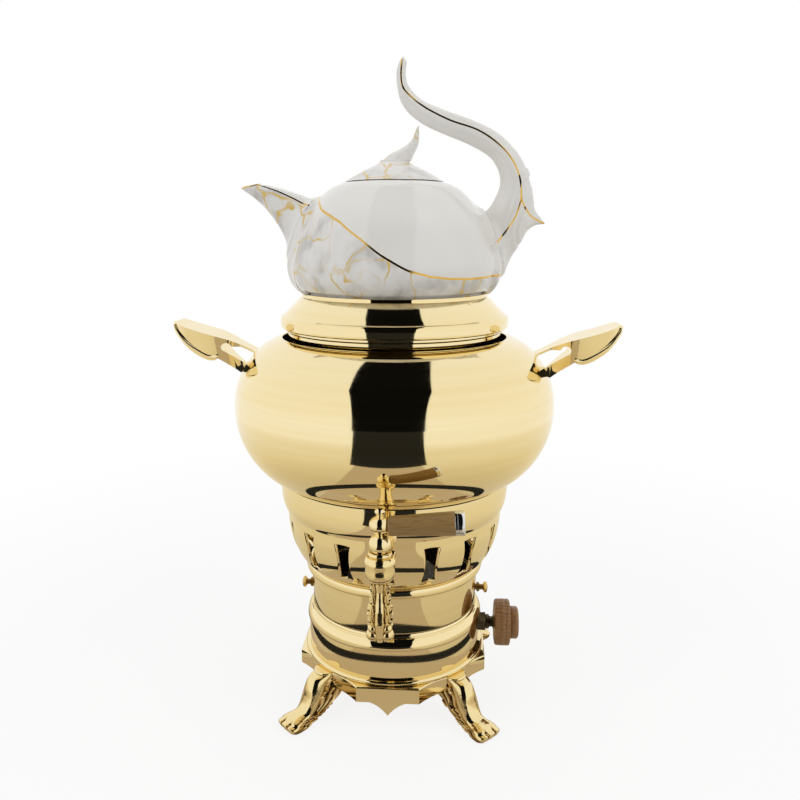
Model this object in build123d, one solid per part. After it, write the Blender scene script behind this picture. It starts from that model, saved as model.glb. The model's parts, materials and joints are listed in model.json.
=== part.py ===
from build123d import *
import os
from math import asin, cos, degrees, radians, sin, sqrt, tan

# Gas samovar with a teapot on top. Millimetres, +Z up, origin on the floor under the axis.
# The tap points to -Y and the gas knob to +X.

# ---- stand -------------------------------------------------------------------------------
leg_height = 37.0           # floor to the top of the base plate
leg_spread = 109.0          # axis to the front of a paw, along the diagonal
leg_thickness = 18.0        # across the diagonal
ankle_thickness = 14.0
paw_width = 23.0
plate_wall = 1.5
plate_radius = 71.2         # at the middle of a scallop
panel_apothem = 73.5
panel_width = 47.0
skirt_depth = 12.3
cusp_depth = 10.6           # of the pointed middle of a panel, below the skirt
corner_reach = 79.0         # axis to the rounded plate corner over a leg
slot_clearance = 0.25       # between a leg and the skirt beside it
screw_circle = 59.0
screw_diameter = 5.0
screw_head = 9.0
screw_head_height = 3.0
screw_grip = 14.0           # length of screw inside the leg

# ---- drums -------------------------------------------------------------------------------
sheet = 1.2                 # wall of the spun sheet pieces
drum_radius = 69.0
drum_height = 29.0
drum_flange = 52.0          # inner radius of the flange that the leg screws clamp
base_ring_reach = 72.2
base_ring_height = 4.2
collar_overlap = 2.0
collar_rise = 10.0
waist_radius = 65.2
waist_flare = 1.2
waist_height = 30.0
sleeve_depth = 2.4          # of the inner sleeve below the top of the lower drum
sleeve_height = 18.0        # of the inner sleeve inside the waist drum
waist_ring_reach = 70.2
waist_ring_height = 7.2
band_foot_radius = 69.2
band_top_radius = 84.0
band_lean = 4.4             # of the band's belly inside its top
band_height = 43.0
vent_count = 16
vent_top_width = 12.5
vent_waist_width = 7.6
vent_foot_width = 9.4
vent_height = 27.5
vent_drop = 6.6             # band top to the top of a vent

# ---- water tank --------------------------------------------------------------------------
spigot_depth = 4.7          # of the tank bottom inside the vent band
spigot_slack = 0.8
cup_flare = 4.4             # band top to the cup rim, outwards
cup_height = 25.3
belly_bulge = 32.8          # cup rim to the widest point, outwards
belly_rise = 56.1           # cup rim to the widest point
lower_sweep = 54.6          # radial half axis of the lower belly curve
lower_drop = 60.5           # vertical half axis of the lower belly curve
upper_sweep = 45.8
upper_rise = 53.0
shoulder_rise = 52.0        # widest point to the neck
neck_inset = 44.0           # widest point to the bore of the neck, inwards
neck_wall = 2.0
neck_rim = 1.8              # of the neck's rim beyond its wall
neck_height = 8.0

# ---- tank cover --------------------------------------------------------------------------
cover_lip = 4.2             # of the cover's lip beyond the neck's rim
cover_lip_height = 9.5
cover_rise = 22.3           # neck rim to the seat of the teapot
cover_spigot = 6.0
lift_gap = 0.3              # between a lift-off piece and its seat
spigot_clearance = 0.6
seat_slack = 1.1            # round the teapot's foot
seat_rim_wall = 1.5
seat_rim_height = 2.2
seat_ledge = 19.6           # width of the seat under the teapot

# ---- handles -----------------------------------------------------------------------------
handle_length = 48.8        # widest point of the tank to the end of a handle
handle_width = 34.0
handle_arm_width = 17.0
handle_wall = 1.8
handle_sink = 29.2          # the arms start this far inside the belly, then are trimmed to it
handle_rise = 50.7          # widest point of the tank to the crest, over the end of the finger gap
crest_climb = 11.2          # of the crest from there to the end of the handle
crest_root_drop = 18.3      # of the crest from there back to the start of the arms
grip_start = 9.8            # widest point of the tank to the end of the finger gap
grip_depth = 18.7           # crest to the thumb stop below it
grip_nose = 13.0            # length of the round end
finger_gap_depth = 4.8
finger_gap_run = 14.0       # straight roof of the finger gap

# ---- water tap ---------------------------------------------------------------------------
tap_reach = 41.6            # cup rim to the plug axis
tap_rise = 7.3              # vent band to the barrel axis
tap_barrel_radius = 5.6
tap_thread_radius = 5.0
tap_bore = 2.8
tap_shoulder_radius = 10.0
tap_housing_drop = 11.5
tap_housing_rise = 4.1
tap_spout_width = 17.0
tap_flange_radius = 7.8
tap_flange_thickness = 2.6
tap_seat = 0.8              # cup rim radius to the back of the flange
tap_washer_depth = 7.5      # inner face of the cup to the inner end of the washer
tap_barrel_overlap = 8.0    # of the barrel inside the housing
backnut_width = 16.0
backnut_thickness = 4.5
tap_outlet_drop = 53.5      # barrel axis to the outlet
plug_radius = 6.0
plug_neck_radius = 4.5
plug_clearance = 0.05
plug_ring_radius = 7.6
plug_ring_height = 3.0
turn_gap = 0.3              # between a turning piece and what is beside it
ball_radius = 7.1
bulb_radius = 6.8
bulb_height = 12.3
lever_tilt = 4.0            # degrees
lever_start = 5.5
lever_length = 40.5
lever_root_radius = 6.3
lever_end_radius = 7.6
lever_cap_length = 7.0
lever_rod_radius = 2.0

# ---- gas side ----------------------------------------------------------------------------
gas_rise = 17.0             # base plate to the gas axis
valve_block = 18.0
valve_inner = 44.0          # samovar axis to the inner end of the valve block
gland_width = 14.0
gland_thickness = 5.5
stem_radius = 3.0
stem_clearance = 0.05
knob_radius = 18.5
knob_thickness = 12.5
knob_hub_radius = 13.0
knob_hub_thickness = 7.0
knob_gap = 7.0              # gland face to the knob
jet_radius = 4.0
jet_length = 8.0
mixing_radius = 9.0
burner_radius = 38.0
burner_height = 14.0
burner_rise = 2.0           # collar to the burner head
burner_cap_height = 5.0
burner_wall = 2.5
burner_ports = 24
port_radius = 1.2
port_drop = 3.5             # burner top to the ports
knob_screw_radius = 1.5
jet_overlap = 1.5           # jet tip inside the mouth of the mixing tube
pipe_bend = 12.0
bridge_width = 26.0
bridge_thickness = 2.0
pipe_radius = 4.0
pipe_bore = 2.6
inlet_reach = 98.0          # axis to the tip of the hose nozzle
nozzle_radius = 5.0
thumb_rise = 8.5            # collar to the axis of the thumb screws
thumb_shank_radius = 2.5
thumb_head_radius = 4.6
thumb_collar_width = 2.0
thumb_reach = 76.5

# ---- teapot ------------------------------------------------------------------------------
pot_foot_radius = 66.5
pot_foot_height = 2.8
pot_belly_radius = 76.6
pot_belly_rise = 21.0
pot_height = 80.5           # foot to the rim
pot_mouth_radius = 36.0
pot_bore = 31.8
pot_wall = 4.5
lid_drop = 3.0              # of the lid's cone inside the mouth
lid_lift_angle = 50.0       # degrees off upright: the lid lifts out from under the handle
lid_rise = 15.5
flame_height = 39.0         # lid foot to the tip of the finial
lid_wall = 3.5
lid_vent = 1.5              # radius of the steam hole
spout_reach = 113.0         # axis to the tip of the spout, before the lip is cut
spout_lip = 97.8            # axis to the near end of the lip
pot_handle_reach = 87.0     # axis to the middle of the handle at its widest
spout_wall = 2.8
strainer_hole = 2.0         # radius
strainer_turn = 5.5         # degrees between two columns of holes
strainer_pitch = 8.0
strainer_level = 0.615      # of the middle row of holes, as a share of the pot's height

os.makedirs("parts", exist_ok=True)

plate_top = leg_height
drum_top = plate_top + drum_height
waist_foot = drum_top + collar_rise
waist_top = waist_foot + waist_height
band_foot = waist_top + waist_ring_height
band_top = band_foot + band_height
cup_top = band_top + cup_height
belly_height = cup_top + belly_rise
band_belly_radius = band_top_radius - band_lean
cup_radius = band_top_radius + cup_flare
belly_radius = cup_radius + belly_bulge
neck_bore = belly_radius - neck_inset
neck_radius = neck_bore + neck_wall
neck_rim_radius = neck_radius + neck_rim
cover_lip_radius = neck_rim_radius + cover_lip
seat_radius = pot_foot_radius + seat_slack
steam_hole_radius = seat_radius - seat_ledge
handle_reach = belly_radius + handle_length
grip_inner = belly_radius + grip_start
tap_axis = cup_radius + tap_reach
tap_height = band_top + tap_rise
gas_axis_height = plate_top + gas_rise
burner_base = waist_foot + burner_rise
thumb_height = waist_foot + thumb_rise
neck_foot = belly_height + shoulder_rise
neck_top = neck_foot + neck_height
seat_height = neck_top + cover_rise
pot_foot = seat_height + lift_gap
pot_rim = pot_foot + pot_height


# ---- helpers -----------------------------------------------------------------------------
def turned(corners):
    """Solid turned about Z from a closed outline of (radius, height) corners."""
    return revolve(Plane.XZ * make_face(Polyline(*corners, close=True)), Axis.Z)


def inset(profile, wall):
    """The inner face of a sheet: each (radius, height) point moved inwards by the wall.
    The two ends move level, so that the sheet ends in flat rings."""
    points = [(profile[0][0] - wall, profile[0][1])]
    for (r0, z0), (r1, z1), (r2, z2) in zip(profile, profile[1:], profile[2:]):
        step = sqrt((r2 - r0) ** 2 + (z2 - z0) ** 2)
        points.append((r1 - wall * (z2 - z0) / step, z1 + wall * (r2 - r0) / step))
    points.append((profile[-1][0] - wall, profile[-1][1]))
    return points


def spun(profile, wall):
    """Sheet spun about Z. The profile is a smooth curve up its outer face."""
    inner = inset(profile, wall)
    outline = (Spline(*profile) + Line(profile[-1], inner[-1])
               + Spline(*inner[::-1]) + Line(inner[0], profile[0]))
    return revolve(Plane.XZ * make_face(outline), Axis.Z)


def filled(profile):
    """Solid turned about Z from a smooth curve up its outer face, full to the axis."""
    (r0, z0), (r1, z1) = profile[0], profile[-1]
    outline = Spline(*profile) + Polyline((r1, z1), (0, z1), (0, z0), (r0, z0))
    return revolve(Plane.XZ * make_face(outline), Axis.Z)


def along_x(radius, start, end, height=0.0):
    """Round bar parallel to X."""
    return Pos((start + end) / 2, 0, height) * Rot(0, 90, 0) * Cylinder(radius, end - start)


def around(piece, count, first=0.0):
    """Copies of a piece at equal turns about Z."""
    return [Rot(0, 0, first + 360 * k / count) * piece for k in range(count)]


def bent_loft(sections):
    """Smooth skin over upright-plane ellipses: (x, z, lean in degrees, across, depth)."""
    faces = []
    for x, z, lean, across, depth in sections:
        ahead = (cos(radians(lean)), 0, sin(radians(lean)))
        plane = Plane(origin=(x, 0, z), x_dir=(0, 1, 0), z_dir=ahead)
        faces.append(plane * Ellipse(depth / 2, across / 2))
    return loft(faces)


def save(name, shape):
    """Write one named piece, as one solid or as a group of separate solids."""
    shapes = [shape] if hasattr(shape, "solids") else shape
    solids = [solid for each in shapes for solid in each.solids()]
    piece = solids[0] if len(solids) == 1 else Compound(children=solids)
    piece.label = name
    export_step(piece, f"parts/{name}.step")


# ---- base plate, legs and their screws -----------------------------------------------------
def plate_outline():
    """Plan of the base plate: flat panels, concave scallops and a round corner at each leg."""
    half = panel_width / 2
    corner = leg_thickness / 2
    root = sqrt(plate_radius ** 2 - corner ** 2)
    shoulder = corner_reach - corner
    mid = radians(27.5)
    flank = (panel_apothem, half)
    lobe = (root * cos(radians(45)) + corner * sin(radians(45)),
            root * cos(radians(45)) - corner * sin(radians(45)))
    side = ThreePointArc(flank, (plate_radius * cos(mid), plate_radius * sin(mid)), lobe)
    tip = Rot(0, 0, 45) * (Line((root, -corner), (shoulder, -corner))
                           + ThreePointArc((shoulder, -corner), (corner_reach, 0), (shoulder, corner))
                           + Line((shoulder, corner), (root, corner)))
    far_side = mirror(side, Plane(origin=(0, 0, 0), z_dir=(1, -1, 0)))
    quarter = Line((panel_apothem, -half), flank) + side + tip + far_side
    edges = [Rot(0, 0, 90 * k) * edge for k in range(4) for edge in quarter.edges()]
    return make_face(edges)


def panel_cusp():
    """One pointed apron below a flat panel, with its ogee edge."""
    half = panel_width / 2
    flat = half * 0.42
    top = plate_top - skirt_depth
    tip = top - cusp_depth
    run = half - flat
    left = Spline((-run, top), (0, tip), tangents=[(1, 0), (1, -0.85)])
    right = Spline((0, tip), (run, top), tangents=[(1, 0.85), (1, 0)])
    edge = left + right + Polyline((run, top), (half, top), (half, top + plate_wall),
                                   (-half, top + plate_wall), (-half, top), (-run, top))
    apron = extrude(Plane.XZ * make_face(edge), plate_wall)
    return Pos(0, -panel_apothem + plate_wall, 0) * apron


outline = plate_outline()
screw_spots = around(Pos(screw_circle, 0, 0) * Cylinder(screw_diameter / 2, 4 * leg_height), 4, 45)
tray = Pos(0, 0, plate_top - skirt_depth) * extrude(outline, skirt_depth)
hollow = extrude(offset(outline, -plate_wall), skirt_depth - plate_wall)
hollow = Pos(0, 0, plate_top - skirt_depth) * hollow
base_plate = tray - hollow
slot = Pos(corner_reach, 0, plate_top - plate_wall - skirt_depth / 2)
slot = slot * Box(2 * (corner_reach - plate_radius + 6), leg_thickness + 2 * slot_clearance, skirt_depth)
for cut in around(slot, 4, 45):
    base_plate -= cut
for apron in around(panel_cusp(), 4):
    base_plate += apron
for spot in screw_spots:
    base_plate -= spot
save("base_plate", base_plate)


def lion_leg():
    """One cast leg, knee to paw, with its length along +X and its thickness across it."""
    top = plate_top - plate_wall
    knee = corner_reach + 5
    front = Spline((corner_reach - 1, top), (knee, leg_height - 6), (knee + 4.5, leg_height * 0.52),
                   (leg_spread - 14.5, leg_height * 0.27), (leg_spread - 6, leg_height * 0.235),
                   (leg_spread, leg_height * 0.085))
    sole = Polyline((leg_spread, leg_height * 0.085), (leg_spread - 1.5, 0), (leg_spread - 17, 0))
    back = Spline((leg_spread - 17, 0), (leg_spread - 28, leg_height * 0.13),
                  (leg_spread - 37, leg_height * 0.36), (leg_spread - 43, leg_height * 0.56),
                  (screw_circle - 8, top - 6))
    head = Polyline((screw_circle - 8, top - 6), (screw_circle - 8, top), (corner_reach - 1, top))
    shape = extrude(Plane.XZ * make_face(front + sole + back + head), paw_width / 2, both=True)
    half = leg_thickness / 2
    ankle = ankle_thickness / 2
    width = Spline((half, top + 1), (half, top * 0.7), (ankle, leg_height * 0.3), (paw_width / 2, -1),
                   tangents=[(0, -1), (1, -1)])
    mask = width + Line((paw_width / 2, -1), (-paw_width / 2, -1)) + mirror(width, Plane.YZ)
    mask += Line((-half, top + 1), (half, top + 1))
    shape = shape & (Plane.YZ * extrude(make_face(mask), 3 * leg_spread, both=True))
    for side in (-1, 0, 1):
        reach = leg_spread - 4.5 - 2.5 * abs(side)
        toe = Pos(reach, side * paw_width * 0.31, 3.6) * Sphere(4.6)
        shape += toe - Pos(reach, side * paw_width * 0.31, -5) * Box(20, 20, 10)
    return shape - Pos(screw_circle, 0, top - screw_grip / 2) * Cylinder(screw_diameter / 2, screw_grip)


leg_names = ["leg_back_right", "leg_back_left", "leg_front_left", "leg_front_right"]
for name, leg in zip(leg_names, around(lion_leg(), 4, 45)):
    save(name, leg)

screw_seat = plate_top + sheet
screw = Pos(0, 0, screw_seat + screw_head_height / 2) * Cylinder(screw_head / 2, screw_head_height)
shank = screw_seat - (plate_top - plate_wall) + screw_grip
screw += Pos(0, 0, screw_seat - shank / 2) * Cylinder(screw_diameter / 2, shank)
screw -= Pos(0, 0, screw_seat + screw_head_height) * Box(screw_head, 1.2, 2.4)
save("leg_screws", around(Pos(screw_circle, 0, 0) * screw, 4, 45))

# ---- lower drum, waist drum and the vent band ----------------------------------------------
lower_drum = turned([(drum_flange, plate_top), (drum_radius, plate_top), (drum_radius, drum_top),
                     (drum_radius - sheet, drum_top), (drum_radius - sheet, plate_top + sheet),
                     (drum_flange, plate_top + sheet)])
for spot in screw_spots:
    lower_drum -= spot
gland_bore = gland_width / 2 - 2
lower_drum -= along_x(gland_bore, drum_radius - 9, drum_radius + 5, gas_axis_height)
lower_drum -= Rot(0, 0, 90) * along_x(pipe_radius, drum_radius - 9, drum_radius + 5, gas_axis_height)
save("lower_drum", lower_drum)

ring_mid = plate_top + base_ring_height / 2
ring_outline = (Polyline((base_ring_reach - 2, plate_top), (drum_radius, plate_top),
                         (drum_radius, plate_top + base_ring_height),
                         (base_ring_reach - 2, plate_top + base_ring_height))
                + ThreePointArc((base_ring_reach - 2, plate_top + base_ring_height),
                                (base_ring_reach, ring_mid), (base_ring_reach - 2, plate_top)))
save("base_ring", revolve(Plane.XZ * make_face(ring_outline), Axis.Z))

collar_foot = drum_top - collar_overlap
collar_profile = [(drum_radius + sheet, collar_foot), (drum_radius + sheet, drum_top),
                  (drum_radius + 0.4, drum_top + collar_rise * 0.35),
                  (drum_radius - 2.2, drum_top + collar_rise * 0.68), (waist_radius + 0.4, waist_foot)]
save("drum_collar", spun(collar_profile, sheet))

waist_rim = waist_radius + waist_flare
waist_drum = turned([(waist_radius, waist_foot), (waist_rim, waist_top), (waist_rim - sheet, waist_top),
                     (waist_radius - sheet, waist_foot)])
thumb_bore = thumb_shank_radius + 0.1
waist_drum -= along_x(thumb_bore, -drum_radius, drum_radius, thumb_height)
save("waist_drum", waist_drum)

sleeve_out = waist_radius - sheet
sleeve_low = drum_radius - sheet
sleeve = turned([(sleeve_low, drum_top - sleeve_depth), (sleeve_low, drum_top),
                 (sleeve_out, waist_foot - 2), (sleeve_out, waist_foot + sleeve_height),
                 (sleeve_out - sheet, waist_foot + sleeve_height), (sleeve_out - sheet, waist_foot - 2.4),
                 (sleeve_low - sheet, drum_top - 0.4), (sleeve_low - sheet, drum_top - sleeve_depth)])
sleeve -= along_x(thumb_bore, -drum_radius, drum_radius, thumb_height)
save("inner_sleeve", sleeve)

ring_half = waist_ring_height / 2
waist_ring = (Polyline((waist_ring_reach - 2, waist_top), (waist_rim - 2 * sheet, waist_top),
                       (waist_rim - 2 * sheet, band_foot), (waist_ring_reach - 2, band_foot))
              + ThreePointArc((waist_ring_reach - 2, band_foot), (waist_ring_reach, waist_top + ring_half),
                              (waist_ring_reach - 2, waist_top)))
save("waist_ring", revolve(Plane.XZ * make_face(waist_ring), Axis.Z))

band_profile = [(band_foot_radius, band_foot), (band_foot_radius + 5.0, band_foot + band_height * 0.13),
                (band_belly_radius, band_foot + band_height * 0.38),
                (band_top_radius - 1.3, band_foot + band_height * 0.68), (band_top_radius, band_top)]


def vent_outline():
    """Hourglass hole with a small notch in its foot."""
    top, foot = vent_height / 2, -vent_height / 2
    right = ThreePointArc((vent_top_width / 2, top), (vent_waist_width / 2, -1.5),
                          (vent_foot_width / 2, foot))
    left = mirror(right, Plane.YZ)
    notch = ThreePointArc((vent_foot_width / 2, foot), (0, foot + 1.6), (-vent_foot_width / 2, foot))
    lid = ThreePointArc((-vent_top_width / 2, top), (0, top + 0.8), (vent_top_width / 2, top))
    return make_face(right + notch + left + lid)


vent_band = spun(band_profile, sheet)
vent_mid = band_top - vent_drop - vent_height / 2
vent = extrude(Plane.XZ * vent_outline(), band_top_radius / 4, both=True)
vent = Pos(0, -band_top_radius, vent_mid) * vent
for cut in around(vent, vent_count):
    vent_band -= cut
save("vent_band", vent_band)

# ---- water tank ----------------------------------------------------------------------------
spigot_radius = band_top_radius - sheet - spigot_slack
cup_floor = band_top - spigot_depth
cup_profile = [(band_top_radius, band_top), (cup_radius - 1.2, band_top + cup_height * 0.3),
               (cup_radius - 0.2, band_top + cup_height * 0.62), (cup_radius, cup_top)]
cup_bore = cup_radius - 1.3
cup_curve = inset(cup_profile, 1.3)
spigot_bore = spigot_radius - sheet
cup_inner = (Polyline((0, cup_top), (0, cup_floor + sheet), (spigot_bore, cup_floor + sheet),
                      (spigot_bore, band_top - 1), cup_curve[1])
             + Spline(*cup_curve[1:]) + Line((cup_bore, cup_top), (0, cup_top)))
cup_outer = (Spline(*cup_profile) + Polyline((cup_radius, cup_top), (0, cup_top), (0, cup_floor),
                                             (spigot_radius, cup_floor), (spigot_radius, band_top),
                                             (band_top_radius, band_top)))
cup_solid = revolve(Plane.XZ * make_face(cup_outer), Axis.Z)
cup_space = revolve(Plane.XZ * make_face(cup_inner), Axis.Z)
tap_hole = Pos(0, -cup_radius, tap_height) * Rot(90, 0, 0) * Cylinder(tap_thread_radius, cup_radius / 3)
save("tank_cup", cup_solid - cup_space - tap_hole)


def belly(wall):
    """Solid inside the tank wall, from the cup rim to the neck: two quarter ellipses meet
    at the widest point. Its seam is between a handle and the tap."""
    low = asin(belly_rise / lower_drop)
    high = asin(shoulder_rise / upper_rise)
    low_centre = belly_radius - lower_sweep
    high_centre = belly_radius - upper_sweep
    lower = EllipticalCenterArc((low_centre, belly_height), lower_sweep - wall, lower_drop - wall,
                                -degrees(low), arc_size=degrees(low))
    upper = EllipticalCenterArc((high_centre, belly_height), upper_sweep - wall, upper_rise - wall,
                                0, arc_size=degrees(high))
    foot, crown = lower @ 0, upper @ 1
    caps = Polyline(crown, (0, crown.Y), (0, foot.Y), foot)
    return Rot(0, 0, 45) * revolve(Plane.XZ * make_face(lower + upper + caps), Axis.Z)


tank_hem = 3.0
hem = turned([(cup_bore - sheet, cup_top - tank_hem), (cup_bore, cup_top - tank_hem), (cup_bore, cup_top),
              (cup_bore, cup_top + 2), (cup_bore - sheet, cup_top + 2)])
tank_body = belly(0) - belly(sheet) + hem
tank_body -= Pos(0, 0, cup_top) * Cylinder(cup_bore - sheet, 2 * tank_hem)
tank_body -= Pos(0, 0, neck_foot) * Cylinder(neck_bore, 20)
save("tank_body", tank_body)

neck_step = neck_height / 2
neck_ring = turned([(neck_bore, neck_foot - sheet), (neck_bore, neck_top), (neck_rim_radius, neck_top),
                    (neck_rim_radius, neck_top - neck_step + 1), (neck_radius + 0.6, neck_top - neck_step),
                    (neck_radius + 0.6, neck_foot + 1.4), (neck_radius, neck_foot + 0.9),
                    (neck_radius, neck_foot - sheet)])
save("neck_ring", neck_ring - belly(0))

# ---- tank cover ----------------------------------------------------------------------------
cover_foot = neck_top + lift_gap
lip_foot = neck_top - 1.0
lip_top = lip_foot + cover_lip_height
lip_bore = neck_rim_radius + spigot_clearance
rim_top = seat_height + seat_rim_height
rim_outer = seat_radius + seat_rim_wall
spigot_out = neck_bore - spigot_clearance
spigot_foot = neck_top - cover_spigot
cover_bore = cover_lip_radius - 3.5
lip_start = (cover_lip_radius - 1.2, lip_foot)
lip_end = (cover_lip_radius - 1.8, lip_top)
cover_inside = [(seat_radius, rim_top), (seat_radius, seat_height), (steam_hole_radius, seat_height),
                (steam_hole_radius, seat_height - sheet), (seat_radius - sheet, seat_height - sheet),
                (cover_bore, lip_top - sheet), (cover_bore, cover_foot + sheet),
                (spigot_out - sheet, cover_foot + sheet), (spigot_out - sheet, spigot_foot),
                (spigot_out, spigot_foot), (spigot_out, cover_foot), (lip_bore, cover_foot)]
cover_outer = (Polyline((lip_bore, cover_foot), (lip_bore, lip_foot), lip_start)
               + ThreePointArc(lip_start, (cover_lip_radius, lip_foot + cover_lip_height / 2), lip_end)
               + Polyline(lip_end, (rim_outer, rim_top - 2.4), (rim_outer, rim_top), *cover_inside))
save("tank_cover", revolve(Plane.XZ * make_face(cover_outer), Axis.Z))

# ---- handles -------------------------------------------------------------------------------
handle_root = belly_radius - handle_sink
crest_height = belly_height + handle_rise
stop_height = crest_height - grip_depth
tip_height = crest_height + crest_climb
grip_end = handle_reach - 2.5


def grip_spot(share):
    """Distance from the axis of a share of the way along the grip."""
    return grip_inner + 3.5 + share * (grip_end - grip_inner - 3.5)


crest = [(handle_root, crest_height - crest_root_drop), (grip_inner - finger_gap_run, crest_height - 6.3),
         (grip_inner + 1, crest_height), (grip_spot(0.41), crest_height + 4.7),
         (handle_reach - 4, tip_height)]


def crest_curve(drop):
    """The arched top of a handle, lowered by a given amount."""
    return Spline(*[(x, z - drop) for x, z in crest])


def handle_side():
    """Side view of a handle: an arched crest, a round end and a lower edge with a thumb stop."""
    end = ThreePointArc(crest[-1], (handle_reach, tip_height - 3), (grip_end, tip_height - 8.5))
    under = Spline((grip_end, tip_height - 8.5), (grip_spot(0.71), stop_height + 9.9),
                   (grip_spot(0.35), stop_height + 1.7), (grip_spot(0.17), stop_height),
                   (grip_spot(0), stop_height + 1.7))
    arm = Polyline((grip_spot(0), stop_height + 1.7), (handle_root, stop_height - 31.9), crest[0])
    return make_face(crest_curve(0) + end + under + arm)


def finger_gap():
    """Side view of the gap between the two arms of a handle."""
    roof_height = crest_height - 8.1
    floor_height = roof_height - finger_gap_depth
    roof_start = (handle_root, crest_height - crest_root_drop - 2)
    roof_end = (grip_inner - finger_gap_run / 2, roof_height)
    low_corner = (grip_inner - 2.4, floor_height + 1)
    roof = Polyline(roof_start, (grip_inner - finger_gap_run, roof_height), roof_end)
    nose = ThreePointArc(roof_end, (grip_inner, roof_height + 1), low_corner)
    return make_face(roof + nose + Polyline(low_corner, (handle_root, floor_height - 26.4), roof_start))


def handle_plan(wall):
    """Top view of a handle, less a wall: narrow arms that flare into a round-ended grip."""
    arm, grip = handle_arm_width / 2 - wall, handle_width / 2 - wall
    reach, nose = handle_reach - wall, handle_reach - grip_nose
    flare, full = grip_inner - grip_nose, grip_inner + 0.58 * (nose - grip_inner)
    side = Spline((handle_root, arm), (flare, arm), (grip_inner + 1, grip - 2), (full, grip),
                  tangents=[(1, 0), (1, 0)])
    edge = (side + Line((full, grip), (nose, grip - 1))
            + ThreePointArc((nose, grip - 1), (reach, 0), (nose, 1 - grip))
            + Line((nose, 1 - grip), (full, -grip)) + mirror(side, Plane.XZ)
            + Line((handle_root, -arm), (handle_root, arm)))
    return make_face(edge)


def handle():
    """One handle on the +X side: a hollow grip, open below, on an upper and a lower arm."""
    body = extrude(Plane.XZ * handle_side(), handle_width, both=True)
    body = body & extrude(handle_plan(0), 2 * belly_height)
    body -= extrude(Plane.XZ * finger_gap(), handle_width, both=True)
    lining = crest_curve(handle_wall)
    start, end = lining @ 0, lining @ 1
    beyond = end.X + grip_nose
    under = Polyline((end.X, end.Y), (beyond, end.Y), (beyond, belly_height), (start.X, belly_height),
                     (start.X, start.Y))
    core = extrude(Plane.XZ * make_face(lining + under), handle_width, both=True)
    core = core & extrude(handle_plan(handle_wall), 2 * belly_height)
    arms = Box(2 * (grip_inner + handle_wall), 2 * handle_width, 2 * belly_height)
    core -= Pos(0, 0, belly_height) * arms
    return body - core - belly(0)


for name, turn in (("handle_right", 0), ("handle_left", 180)):
    save(name, Rot(0, 0, turn) * handle())

# ---- water tap -----------------------------------------------------------------------------
flange_back = cup_radius + tap_seat
flange_front = flange_back + tap_flange_thickness
washer_face = cup_radius - sheet - tap_washer_depth
nut_face = washer_face - backnut_thickness
housing_foot = tap_height - tap_housing_drop
housing_top = tap_height + tap_housing_rise
outlet_height = tap_height - tap_outlet_drop
ring_top = housing_top + plug_ring_height


def along_y(radius, start, end, height):
    """Round bar along the tap's barrel; start and end are distances in front of the axis."""
    return Pos(0, -(start + end) / 2, height) * Rot(90, 0, 0) * Cylinder(radius, end - start)


def spout_section(height, width, depth):
    """Level ellipse of the tap's spout."""
    return Pos(0, -tap_axis, height) * Ellipse(width / 2, depth / 2)


tap_drop = housing_foot - outlet_height
spout = loft([spout_section(housing_foot + 1, tap_spout_width - 1.5, tap_spout_width - 2),
              spout_section(housing_foot - tap_drop * 0.15, tap_spout_width - 3.5, tap_spout_width - 4),
              spout_section(housing_foot - tap_drop * 0.6, tap_spout_width, tap_spout_width - 2),
              spout_section(outlet_height, tap_spout_width - 4.5, tap_spout_width - 5)])
for side in (-1, 1):
    spout += Pos(side * 4.2, -tap_axis, outlet_height + 4.6) * Sphere(4.4)
below = Box(2 * tap_spout_width, 2 * tap_spout_width, 10)
spout -= Pos(0, -tap_axis, outlet_height - 5) * below
housing = Pos(0, -tap_axis, (housing_foot + housing_top) / 2)
housing = housing * Cylinder(tap_shoulder_radius, housing_top - housing_foot)
housing = fillet(housing.edges().sort_by(Axis.Z)[0], 3)
tap_body = housing + spout
tap_body += along_y(tap_barrel_radius, flange_back, tap_axis - tap_barrel_overlap, tap_height)
tap_body += along_y(tap_flange_radius, flange_back, flange_front, tap_height)
tap_body += along_y(tap_thread_radius, nut_face - 2.5, flange_back, tap_height)
tap_body -= along_y(tap_bore, nut_face - 5, tap_axis, tap_height)
plug_bore = plug_radius + plug_clearance
plug_foot = housing_foot + 2
plug_hole = Cylinder(plug_bore, housing_top + 1 - plug_foot, align=(Align.CENTER, Align.CENTER, Align.MIN))
outlet_bore = Cylinder(tap_bore, 2 * (plug_foot - outlet_height) + 2)
tap_body -= Pos(0, -tap_axis, plug_foot) * plug_hole
save("tap_body", tap_body - Pos(0, -tap_axis, outlet_height) * outlet_bore)

gasket = along_y(tap_flange_radius - 0.5, cup_radius - 5, flange_back, tap_height)
gasket -= along_y(tap_thread_radius, cup_radius - 8, flange_back + 1, tap_height)
save("tap_gasket", gasket - cup_solid)
tap_washer = along_y(tap_flange_radius, washer_face, cup_radius, tap_height)
tap_washer -= along_y(tap_thread_radius, washer_face - 1, cup_radius + 1, tap_height)
save("tap_washer", tap_washer & cup_space)
back_nut = extrude(RegularPolygon(backnut_width / 2, 6, major_radius=False), backnut_thickness)
back_nut = Pos(0, -nut_face, tap_height) * Rot(90, 0, 0) * back_nut
save("tap_back_nut", back_nut - along_y(tap_thread_radius, nut_face - 1, washer_face + 1, tap_height))

plug_ring = Cylinder(plug_ring_radius, plug_ring_height)
plug_ring -= Cylinder(plug_neck_radius + plug_clearance, 2 * plug_ring_height)
save("plug_ring", Pos(0, -tap_axis, housing_top + plug_ring_height / 2) * plug_ring)

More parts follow.
